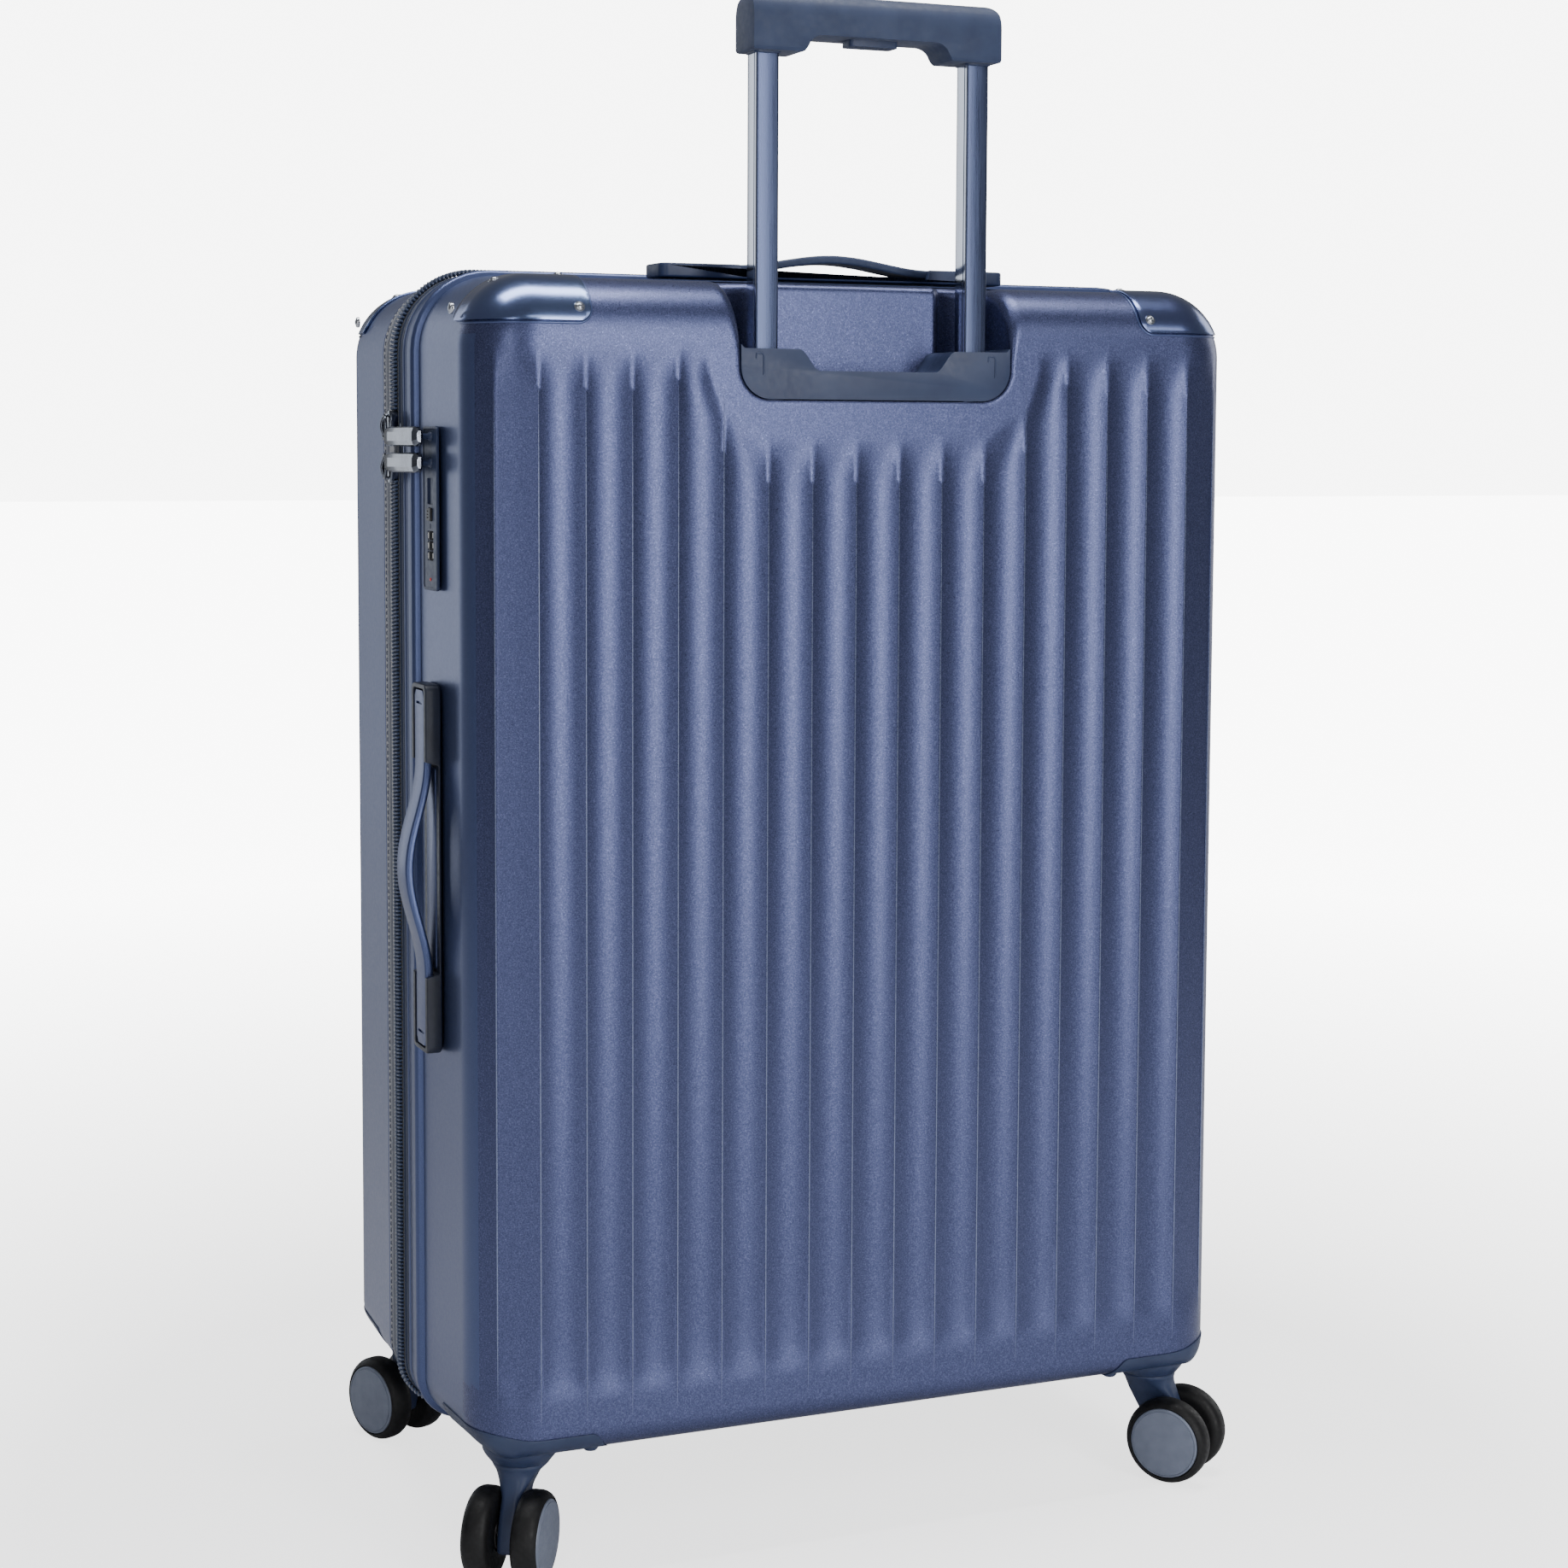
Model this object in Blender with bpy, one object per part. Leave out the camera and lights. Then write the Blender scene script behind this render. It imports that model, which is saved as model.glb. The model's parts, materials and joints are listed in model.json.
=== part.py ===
"""Hard-shell spinner suitcase with a telescopic trolley, as separate closed solids.

Frame: metres, +Z up, ground at Z = 0. The trolley (back) half faces +Y, the lid (front) half
faces -Y, and the lock, the side handle and the zip pulls are on the +X side. The lid hinges on
the -X side. Each moving piece has its origin on its own joint axis.
"""
import math

import bmesh
import bpy
from mathutils import Matrix, Vector

# ---- driving dimensions -------------------------------------------------------------------
GAP = 0.0003                     # clearance between pieces that touch
FACE_HALF_W = 0.2515             # half width where the big faces start to round over
DRAFT = 0.0035                   # how much each half grows on all sides towards its rim
BODY_LOW, BODY_HIGH = 0.0760, 0.7700
BACK_Y, FRONT_Y = 0.150, -0.150  # the two big faces
BACK_RIM_Y, FRONT_RIM_Y = 0.046, -0.036
ZIP_Y = 0.005                    # centre of the zip chain and plane of the lid hinge
EDGE_R = 0.037                   # rounding between a big face and the sides
FOOT_R = 0.014                   # tighter rounding along the bottom of a big face
CORNER_R = 0.042                 # rounding of the outline, seen from behind
FOOT_CORNER_R = 0.024            # tighter outline radius of the two bottom corners
WALL = 0.0025
PAST = 0.010                     # how far a cutting solid runs past the face it cuts

FLUTE_PITCH = 0.0285
FLUTE_COUNT = 15
FLUTE_DEPTH = 0.0022
FLUTE_LOW, FLUTE_HIGH = 0.110, 0.728
SHORT_FLUTE_HIGH = 0.678         # the seven flutes below the trolley recess
SHORT_FLUTES = 7

RECESS_HALF_W = 0.0892           # trolley recess in the back shell
RECESS_FLOOR = 0.6994
RECESS_BACK_Y = 0.1135
RECESS_R = 0.0195
CUP_HIGH = 0.7295

TUBE_X, TUBE_Y = 0.069, 0.1335   # centre lines of the two trolley legs
INNER_TUBE = (0.0145, 0.0150)    # outer section of the thinnest tube
TUBE_WALL = 0.0010
OUTER_TUBE_LOW, OUTER_TUBE_HIGH = 0.1060, 0.7215
MID_TUBE_LOW, MID_TUBE_HIGH = 0.480, 0.7290
INNER_TUBE_LOW = 0.667

GRIP_LOW, GRIP_HIGH = 0.9035, 0.9385
GRIP_HALF_W = 0.081
GRIP_Y0, GRIP_Y1 = 0.1195, 0.1485
GRIP_ARCH = 0.9135               # underside of the bar between the legs

LOCK_Y0, LOCK_Y1 = 0.058, 0.088
LOCK_LOW, LOCK_HIGH = 0.586, 0.683
DIAL_HEIGHTS = (0.6065, 0.6125, 0.6185)
DIAL_R = 0.0075

CASTER_X, CASTER_Y = 0.216, 0.117
CASTER_TRAIL = 0.020
WHEEL_R, WHEEL_W = 0.0275, 0.0184
STEM_T = 0.0115                  # fork stem between the two wheels
CASTER_TURNS = {                 # resting swivel angle of each caster, degrees about +Z
    "back_lock": (1, 1, 54.0),
    "back_hinge": (-1, 1, 129.0),
    "front_lock": (1, -1, -67.0),
    "front_hinge": (-1, -1, 140.0),
}
ROUND = 20                       # facets of a turned piece


# ---- helpers ------------------------------------------------------------------------------
def clear_scene():
    for item in list(bpy.data.objects):
        bpy.data.objects.remove(item, do_unlink=True)


def material(name, colour, roughness, metallic=0.0):
    found = bpy.data.materials.get(name)
    if found:
        return found
    made = bpy.data.materials.new(name)
    made.use_nodes = True
    shader = made.node_tree.nodes["Principled BSDF"]
    shader.inputs["Base Color"].default_value = (*colour, 1.0)
    shader.inputs["Roughness"].default_value = roughness
    shader.inputs["Metallic"].default_value = metallic
    return made


def add_piece(name, bm, look, origin=(0.0, 0.0, 0.0), parent=None, turn=0.0):
    """Turn a bmesh in world metres into a named object whose origin sits at `origin`."""
    bmesh.ops.recalc_face_normals(bm, faces=bm.faces[:])
    if turn == 0.0:
        bm.transform(Matrix.Translation(-Vector(origin)))
    mesh = bpy.data.meshes.new(name)
    bm.to_mesh(mesh)
    bm.free()
    colour, roughness, metallic = look
    mesh.materials.append(material("mat_" + name, colour, roughness, metallic))
    mesh.shade_smooth()
    mesh.set_sharp_from_angle(angle=math.radians(35))
    piece = bpy.data.objects.new(name, mesh)
    bpy.context.scene.collection.objects.link(piece)
    piece.location = origin
    piece.rotation_euler = (0.0, 0.0, turn)
    if parent:
        piece.parent = parent
    return piece


def add_empty(name, origin, turn=0.0):
    empty = bpy.data.objects.new(name, None)
    bpy.context.scene.collection.objects.link(empty)
    empty.location = origin
    empty.rotation_euler = (0.0, 0.0, turn)
    return empty


def apply_helper(piece, helper, operation):
    """Cut, join or clip `piece` with another object, which is hidden from then on."""
    helper.hide_render = True
    helper.display_type = "WIRE"
    step = piece.modifiers.new(helper.name, "BOOLEAN")
    step.operation = operation
    step.object = helper
    step.solver = "EXACT"


def make_helper(name, bm):
    bmesh.ops.recalc_face_normals(bm, faces=bm.faces[:])
    mesh = bpy.data.meshes.new(name)
    bm.to_mesh(mesh)
    bm.free()
    helper = bpy.data.objects.new(name, mesh)
    bpy.context.scene.collection.objects.link(helper)
    return helper


def combine(piece, bm, operation="DIFFERENCE"):
    """Cut `piece` with the solid in `bm`, join it on, or keep only what both share."""
    name = "tool_%s_%d" % (piece.name, len(piece.modifiers))
    apply_helper(piece, make_helper(name, bm), operation)


def soften(piece, width, segments=1, angle=40.0):
    step = piece.modifiers.new("soft_edges", "BEVEL")
    step.width = width
    step.segments = segments
    step.limit_method = "ANGLE"
    step.angle_limit = math.radians(angle)
    return step


def bridge(bm, ring_a, ring_b):
    count = len(ring_a)
    for i in range(count):
        j = (i + 1) % count
        bm.faces.new((ring_a[i], ring_a[j], ring_b[j], ring_b[i]))


def loft(rings):
    """Closed solid through equal rings of points, capped at both ends."""
    bm = bmesh.new()
    made = [[bm.verts.new(p) for p in ring] for ring in rings]
    for ring_a, ring_b in zip(made, made[1:]):
        bridge(bm, ring_a, ring_b)
    bm.faces.new(made[0])
    bm.faces.new(made[-1])
    return bm


def loop_solid(rings):
    """Closed solid through rings that come back to the first one, such as a tube wall."""
    bm = bmesh.new()
    made = [[bm.verts.new(p) for p in ring] for ring in rings]
    for ring_a, ring_b in zip(made, made[1:] + made[:1]):
        bridge(bm, ring_a, ring_b)
    return bm


AXES = {
    "x": lambda a, b, h: (h, a, b),
    "y": lambda a, b, h: (a, h, b),
    "z": lambda a, b, h: (a, b, h),
}


def prism(points, low, high, axis="z"):
    place = AXES[axis]
    return loft([[place(a, b, h) for a, b in points] for h in (low, high)])


def block(low, high):
    (x0, y0, z0), (x1, y1, z1) = low, high
    return prism([(x0, y0), (x1, y0), (x1, y1), (x0, y1)], z0, z1)


def rectangle(half_a, half_b, centre=(0.0, 0.0), radius=0.0, steps=3):
    """Points of a rectangle with rounded corners, counter-clockwise."""
    a0, b0 = centre
    if radius == 0.0:
        return [(a0 - half_a, b0 - half_b), (a0 + half_a, b0 - half_b),
                (a0 + half_a, b0 + half_b), (a0 - half_a, b0 + half_b)]
    points = []
    for corner, (sa, sb) in enumerate(((1, -1), (1, 1), (-1, 1), (-1, -1))):
        for step in range(steps + 1):
            angle = math.radians(-90 + 90 * corner + 90 * step / steps)
            points.append((a0 + sa * (half_a - radius) + radius * math.cos(angle),
                           b0 + sb * (half_b - radius) + radius * math.sin(angle)))
    return points


def turned(profile, steps=ROUND):
    """Revolve (radius, height) points about Z. A profile that starts and ends at radius 0 is
    closed by its poles, and any other profile closes on itself as a ring."""
    bm = bmesh.new()
    rings = []
    for radius, height in profile:
        if radius == 0.0:
            rings.append(bm.verts.new((0.0, 0.0, height)))
        else:
            ring = []
            for i in range(steps):
                angle = 2 * math.pi * i / steps
                ring.append(bm.verts.new((radius * math.cos(angle), radius * math.sin(angle), height)))
            rings.append(ring)
    pairs = list(zip(rings, rings[1:]))
    if profile[0][0] != 0.0:
        pairs.append((rings[-1], rings[0]))
    for ring_a, ring_b in pairs:
        if isinstance(ring_a, list) and isinstance(ring_b, list):
            bridge(bm, ring_a, ring_b)
            continue
        pole, ring = (ring_a, ring_b) if isinstance(ring_b, list) else (ring_b, ring_a)
        for i in range(steps):
            bm.faces.new((pole, ring[i], ring[(i + 1) % steps]))
    return bm


def moved(bm, matrix):
    bm.transform(matrix)
    return bm


def merged(*solids):
    """One mesh that holds several separate solids, for a cutter."""
    bm = bmesh.new()
    for solid in solids:
        mesh = bpy.data.meshes.new("part_of_cutter")
        solid.to_mesh(mesh)
        solid.free()
        bm.from_mesh(mesh)
        bpy.data.meshes.remove(mesh)
    return bm


# ---- looks: colour, roughness, metallic -----------------------------------------------------
NAVY = (0.055, 0.085, 0.185)
SHELL_LOOK = (NAVY, 0.38, 0.55)
GUARD_LOOK = ((0.13, 0.20, 0.34), 0.18, 0.9)
PLASTIC_LOOK = ((0.045, 0.068, 0.125), 0.5, 0.0)
TUBE_LOOK = ((0.12, 0.15, 0.24), 0.25, 0.9)
FABRIC_LOOK = ((0.02, 0.03, 0.06), 0.9, 0.0)
LINING_LOOK = ((0.10, 0.11, 0.14), 0.95, 0.0)
RUBBER_LOOK = ((0.012, 0.012, 0.013), 0.65, 0.0)
METAL_LOOK = ((0.18, 0.19, 0.22), 0.3, 1.0)
STEEL_LOOK = ((0.6, 0.6, 0.6), 0.3, 1.0)


# ---- the outline of the body ----------------------------------------------------------------
OUTLINE_STEPS = 5
CORNER_LEAST = 0.004             # no corner of an outline is tighter than this


def outline(offset, y, sharper=0.0):
    """The suitcase's outline at depth y, moved outwards by `offset`, with corners `sharper` tighter."""
    half_h = (BODY_HIGH - BODY_LOW) / 2
    centre = (BODY_HIGH + BODY_LOW) / 2
    upper, lower = [rectangle(FACE_HALF_W + offset, half_h + offset, (0.0, centre),
                              max(radius + offset - sharper, CORNER_LEAST), OUTLINE_STEPS)
                    for radius in (CORNER_R, FOOT_CORNER_R)]
    return [(high[0], y, high[1]) if high[1] > centre else (low[0], y, low[1])
            for high, low in zip(upper, lower)]


def half_body(side, rim_y, face_y, offset=0.0, extra_depth=0.0):
    """Solid lofted from the rim, with draft, over the rounded edge to the big face."""
    start = face_y - side * EDGE_R
    rings = [outline(DRAFT + offset, rim_y)]
    for step in range(5):
        angle = math.radians(90 * step / 4)
        reach = EDGE_R + offset + extra_depth
        inset = (EDGE_R + offset) * (1 - math.cos(angle))
        ring = outline(offset - inset, start + side * reach * math.sin(angle))
        rings.append(lowered(ring, foot_drop(EDGE_R * (1 - math.sin(angle)))))
    return loft(rings)


def foot_drop(depth):
    """How much lower the tight bottom rounding lies than the wide one, at a depth behind the face."""
    wide = EDGE_R - math.sqrt(EDGE_R ** 2 - (EDGE_R - depth) ** 2)
    tight = FOOT_R - math.sqrt(FOOT_R ** 2 - (FOOT_R - min(depth, FOOT_R)) ** 2)
    return wide - tight


def lowered(ring, drop):
    middle = (BODY_HIGH + BODY_LOW) / 2
    return [(x, y, z - drop if z < middle else z) for x, y, z in ring]


def band(profile):
    """Solid ring around the body: `profile` holds (offset, y) corners of its section."""
    return loop_solid([outline(DRAFT + offset, y) for offset, y in profile])


def flute_cutters(side, face_y, shorten):
    """Shallow round-bottomed channels with ramped ends, one for each flute."""
    channels = []
    half = FLUTE_PITCH / 2 - 0.0004
    section = [(-half, 0.0), (-half * 0.6, 0.72), (0.0, 1.0), (half * 0.6, 0.72), (half, 0.0)]
    for i in range(FLUTE_COUNT):
        number = i - FLUTE_COUNT // 2
        short = shorten and abs(number) <= SHORT_FLUTES // 2
        top = SHORT_FLUTE_HIGH if short else FLUTE_HIGH
        rings = []
        for z, share in ((FLUTE_LOW, 0.0), (FLUTE_LOW + 0.02, 1.0), (top - 0.02, 1.0), (top, 0.0)):
            ring = [(number * FLUTE_PITCH + x, face_y - side * (FLUTE_DEPTH * depth * share + 1e-5), z)
                    for x, depth in section]
            ring.append((number * FLUTE_PITCH + half, face_y + side * 0.002, z))
            ring.append((number * FLUTE_PITCH - half, face_y + side * 0.002, z))
            rings.append(ring)
        channels.append(loft(rings))
    return merged(*channels)


# ---- casters --------------------------------------------------------------------------------
HOUSING_TOP = 0.0860
HOUSING_BASE = 0.0740
BOSS_LOW = 0.0675


def housing_outline(sx, sy, grow=0.0):
    half_a, half_b = 0.0365 + grow, 0.0255 + grow
    centre = (sx * 0.2040, sy * 0.1135)
    return rectangle(half_a, half_b, centre, 0.017 + grow, 4)


def housing_pocket(sx, sy, grow=0.0):
    """Space that the caster housing takes out of a shell's bottom corner."""
    return prism(housing_outline(sx, sy, GAP + grow), BODY_LOW - 0.02, HOUSING_TOP + GAP + grow)


def build_caster(tag):
    sx, sy, turn = CASTER_TURNS[tag]
    pivot = (sx * CASTER_X, sy * CASTER_Y, 0.0)
    place = Matrix.Translation(pivot)

    housing = add_piece("caster_housing_" + tag,
                        prism(housing_outline(sx, sy), HOUSING_BASE, HOUSING_TOP),
                        PLASTIC_LOOK, (pivot[0], pivot[1], HOUSING_BASE))
    boss = turned([(0.0, BOSS_LOW), (0.0195, BOSS_LOW), (0.021, BOSS_LOW + 0.0015),
                   (0.021, HOUSING_BASE + 0.001), (0.0, HOUSING_BASE + 0.001)])
    combine(housing, moved(boss, place), "UNION")
    bore = turned([(0.0, BOSS_LOW - 0.002), (0.0043, BOSS_LOW - 0.002), (0.0043, 0.0806), (0.0, 0.0806)])
    combine(housing, moved(bore, place))

    swivel = add_empty("pivot_caster_" + tag, (pivot[0], pivot[1], WHEEL_R), math.radians(turn))
    local = Matrix.Translation((0.0, 0.0, -WHEEL_R))
    fork = add_piece("caster_fork_" + tag, moved(fork_stem(), local), PLASTIC_LOOK, parent=swivel)
    neck = turned([(0.0, 0.050), (0.0095, 0.050), (0.0125, 0.060), (0.0138, 0.0668),
                   (0.0040, BOSS_LOW - GAP), (0.0040, 0.0800), (0.0, 0.0800)])
    whole = swivel_matrix(pivot, turn)
    combine(fork, moved(neck, whole), "UNION")
    hole = moved(turned([(0.0, -0.01), (0.0033, -0.01), (0.0033, 0.01), (0.0, 0.01)]), axle_place())
    combine(fork, moved(hole, whole))

    pin_half = STEM_T / 2 + GAP + 0.0150
    pin = turned([(0.0, -pin_half), (0.0030, -pin_half), (0.0030, pin_half), (0.0, pin_half)], 16)
    add_piece("caster_axle_" + tag, moved(moved(pin, axle_place()), local), STEEL_LOOK, parent=swivel)
    for name, side in (("a", 1), ("b", -1)):
        wheel = moved(wheel_solid(), Matrix.Rotation(math.radians(-90 * side), 4, "X"))
        shape = add_piece("wheel_%s_%s" % (name, tag), wheel, RUBBER_LOOK, parent=swivel)
        shape.location = (CASTER_TRAIL, side * (STEM_T / 2 + GAP), 0.0)


def swivel_matrix(pivot, turn):
    return Matrix.Translation(pivot) @ Matrix.Rotation(math.radians(turn), 4, "Z")


def axle_place():
    """Puts a turned piece on the wheel axis, in the caster's own frame."""
    return Matrix.Translation((CASTER_TRAIL, 0.0, WHEEL_R)) @ Matrix.Rotation(math.radians(90), 4, "X")


def fork_stem():
    """Flat stem that leans from the swivel to the axle, with a round end."""
    centre_x, centre_z, radius = CASTER_TRAIL, WHEEL_R, 0.0095
    points = [(-0.0115, 0.0600), (-0.0085, 0.0520), (0.0000, 0.0440), (0.0085, 0.0360)]
    for step in range(7):
        angle = math.radians(160 + 220 * step / 6)
        points.append((centre_x + radius * math.cos(angle), centre_z + radius * math.sin(angle)))
    points += [(0.0265, 0.0440), (0.0205, 0.0560), (0.0125, 0.0630)]
    return prism(points, -STEM_T / 2, STEM_T / 2, "y")


def wheel_solid():
    """Tyre and hub in one, with a blind bore on the inner side, standing on +Z."""
    r, w = WHEEL_R, WHEEL_W
    return turned([(0.0, 0.0160), (0.0033, 0.0160), (0.0033, 0.0), (0.0100, 0.0), (r - 0.003, 0.0006),
                   (r, 0.0035), (r, w - 0.0045), (r - 0.0018, w - 0.0018), (r - 0.0048, w - 0.0008),
                   (0.0, w)])


# ---- shells, guards and trims ---------------------------------------------------------------
def recess_outline(grow=0.0):
    """The trolley recess seen from behind: open at the top, round lower corners."""
    half, low, r = RECESS_HALF_W + grow, RECESS_FLOOR - grow, RECESS_R + grow
    points = [(half, BODY_HIGH + 0.03)]
    for sx, start in ((1, 0), (-1, -90)):
        for step in range(5):
            angle = math.radians(start - 90 * step / 4)
            points.append((sx * (half - r) + r * math.cos(angle), low + r + r * math.sin(angle)))
    points.append((-half, BODY_HIGH + 0.03))
    return points


def tube_section(outside, grow=0.0, radius=0.0015):
    return rectangle(outside[0] / 2 + grow, outside[1] / 2 + grow, (0.0, 0.0), radius + grow, 1)


def at_leg(points, sx):
    return [(sx * TUBE_X + a, TUBE_Y + b) for a, b in points]


MID_TUBE = tuple(s + 2 * (TUBE_WALL + GAP) for s in INNER_TUBE)
OUTER_TUBE = tuple(s + 2 * (TUBE_WALL + GAP) for s in MID_TUBE)


def build_back_shell():
    shell = add_piece("back_shell", half_body(1, BACK_RIM_Y, BACK_Y), SHELL_LOOK)
    combine(shell, flute_cutters(1, BACK_Y, True))
    combine(shell, prism(recess_outline(), RECESS_BACK_Y, BACK_Y + PAST, "y"))
    combine(shell, merged(housing_pocket(1, 1), housing_pocket(-1, 1)))
    lock_hole = block((0.24, LOCK_Y0 + 0.0037, LOCK_LOW + 0.0037),
                      (0.27, LOCK_Y1 - 0.0037, LOCK_HIGH - 0.0337))
    hollow = make_helper("hollow_back", half_body(1, BACK_RIM_Y - PAST, BACK_Y - FLUTE_DEPTH, -WALL))
    combine(hollow, prism(recess_outline(WALL), RECESS_BACK_Y - WALL, BACK_Y + PAST, "y"))
    combine(hollow, merged(housing_pocket(1, 1, WALL), housing_pocket(-1, 1, WALL)))
    apply_helper(shell, hollow, "DIFFERENCE")
    holes = [prism(at_leg(tube_section(OUTER_TUBE, GAP), sx), RECESS_FLOOR - 0.01, RECESS_FLOOR + 0.01)
             for sx in (1, -1)]
    combine(shell, merged(lock_hole, *holes))


def build_front_shell():
    shell = add_piece("front_shell", half_body(-1, FRONT_RIM_Y, FRONT_Y), SHELL_LOOK)
    combine(shell, flute_cutters(-1, FRONT_Y, False))
    combine(shell, merged(housing_pocket(1, -1), housing_pocket(-1, -1)))
    hollow = make_helper("hollow_front", half_body(-1, FRONT_RIM_Y + PAST, FRONT_Y + FLUTE_DEPTH, -WALL))
    combine(hollow, merged(housing_pocket(1, -1, WALL), housing_pocket(-1, -1, WALL)))
    apply_helper(shell, hollow, "DIFFERENCE")


GUARD_INNER_X = 0.1810
GUARD_LOW = 0.7430
GUARD_DEPTH = 0.0500
GUARD_T = 0.0012


def build_guard(tag, sx, side):
    """Pressed metal cap that hugs three faces of a top corner."""
    rim_y = BACK_RIM_Y if side > 0 else FRONT_RIM_Y
    face_y = BACK_Y if side > 0 else FRONT_Y
    guard = add_piece("corner_guard_" + tag, half_body(side, rim_y, face_y, GAP + GUARD_T), GUARD_LOOK)
    combine(guard, half_body(side, rim_y - side * 0.01, face_y, GAP))
    y0 = face_y - side * GUARD_DEPTH
    y1 = face_y + side * 0.02
    low = (min(sx * GUARD_INNER_X, sx * 0.27), min(y0, y1), GUARD_LOW)
    high = (max(sx * GUARD_INNER_X, sx * 0.27), max(y0, y1), 0.79)
    combine(guard, block(low, high), "INTERSECT")
    return guard


CHAIN_OUT = 0.0062               # how far the zip chain stands out of the rim
PULL_HALF = 0.0060               # half height of a zip pull tab
TAPE_OUT = -0.0010


def build_zip():
    """Two tapes with half a chain each, the trim band and the fabric hinge."""
    front = [(-0.0035, FRONT_RIM_Y + GAP), (TAPE_OUT, FRONT_RIM_Y + GAP), (0.0020, ZIP_Y - 0.0065),
             (CHAIN_OUT, ZIP_Y - 0.0040), (CHAIN_OUT, ZIP_Y - GAP / 2), (0.0005, ZIP_Y - GAP / 2)]
    back = [(-0.0035, 0.0147), (TAPE_OUT, 0.0147), (0.0020, ZIP_Y + 0.0065),
            (CHAIN_OUT, ZIP_Y + 0.0040), (CHAIN_OUT, ZIP_Y + GAP / 2), (0.0005, ZIP_Y + GAP / 2)]
    trim = [(-0.0035, 0.0150), (0.0005, 0.0150), (0.0020, 0.0200), (0.0020, 0.0410),
            (0.0, BACK_RIM_Y - GAP), (-0.0035, BACK_RIM_Y - GAP)]
    add_piece("zip_tape_front", band(front), FABRIC_LOOK, hinge_origin())
    add_piece("zip_tape_back", band(back), FABRIC_LOOK)
    add_piece("rim_trim_band", band(trim), PLASTIC_LOOK)
    x = -(FACE_HALF_W + DRAFT + 0.0023)
    add_piece("hinge_fabric", block((x - 0.0012, 0.0140, 0.240), (x, 0.0400, 0.600)), FABRIC_LOOK)


def hinge_origin():
    return (-(FACE_HALF_W + DRAFT + CHAIN_OUT + 0.0008), ZIP_Y, (BODY_LOW + BODY_HIGH) / 2)


def build_zip_pulls():
    base_x = FACE_HALF_W + DRAFT + CHAIN_OUT + GAP
    for tag, z, tab_z in (("upper", 0.6835, 0.6770), ("lower", 0.6580, 0.6615)):
        body = rectangle(0.0055, 0.0088, (ZIP_Y, z), 0.003, 2)
        slider = add_piece("zip_slider_" + tag, prism(body, base_x, base_x + 0.0030, "x"), METAL_LOOK,
                           (base_x, ZIP_Y, z))
        post = prism(rectangle(0.0022, 0.0030, (ZIP_Y, tab_z)), base_x + 0.0020, base_x + 0.0065, "x")
        combine(slider, post, "UNION")
        pivot_x = base_x + 0.0045
        y0, y1 = ZIP_Y + 0.0030, 0.0790
        tab = prism([(y0, tab_z - PULL_HALF), (y1 - 0.003, tab_z - PULL_HALF),
                     (y1, tab_z - PULL_HALF + 0.003), (y1, tab_z + PULL_HALF - 0.003),
                     (y1 - 0.003, tab_z + PULL_HALF), (y0, tab_z + PULL_HALF)],
                    base_x + 0.0033, base_x + 0.0060, "x")
        add_piece("zip_pull_" + tag, tab, METAL_LOOK, (pivot_x, ZIP_Y, tab_z))


# ---- trolley --------------------------------------------------------------------------------
def build_tubes():
    sizes = (("outer", OUTER_TUBE, OUTER_TUBE_LOW, OUTER_TUBE_HIGH),
             ("mid", MID_TUBE, MID_TUBE_LOW, MID_TUBE_HIGH),
             ("inner", INNER_TUBE, INNER_TUBE_LOW, GRIP_LOW + 0.0160))
    for stage, outside, low, high in sizes:
        for tag, sx in (("lock", 1), ("hinge", -1)):
            skin = at_leg(tube_section(outside), sx)
            bore = at_leg(tube_section(outside, -TUBE_WALL), sx)
            rings = [[(a, b, z) for a, b in points]
                     for points, z in ((skin, low), (skin, high), (bore, high), (bore, low))]
            add_piece("%s_tube_%s" % (stage, tag), loop_solid(rings), TUBE_LOOK,
                      (sx * TUBE_X, TUBE_Y, low))
    for tag, sx in (("lock", 1), ("hinge", -1)):
        rod = turned([(0.0, 0.6750), (0.0025, 0.6750), (0.0025, GRIP_LOW + 0.0115),
                      (0.0, GRIP_LOW + 0.0115)], 12)
        add_piece("push_rod_" + tag, moved(rod, Matrix.Translation((sx * TUBE_X, TUBE_Y, 0.0))),
                  STEEL_LOOK, (sx * TUBE_X, TUBE_Y, 0.6750))


def build_base_bracket():
    """Bar at the bottom of the case that both outer tubes stand in."""
    low, high = BODY_LOW + WALL + 0.0010, 0.1180
    bracket = add_piece("trolley_base_bracket", block((-0.086, 0.1215, low), (0.086, 0.1600, high)),
                        PLASTIC_LOOK)
    combine(bracket, half_body(1, BACK_RIM_Y, BACK_Y - 0.0022, -WALL - GAP), "INTERSECT")
    sockets = [prism(at_leg(tube_section(OUTER_TUBE, GAP), sx), OUTER_TUBE_LOW - GAP, 0.13)
               for sx in (1, -1)]
    combine(bracket, merged(*sockets))
    middle = block((-0.052, 0.1260, low + 0.006), (0.052, 0.1600, high - 0.004))
    combine(bracket, middle)


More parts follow.
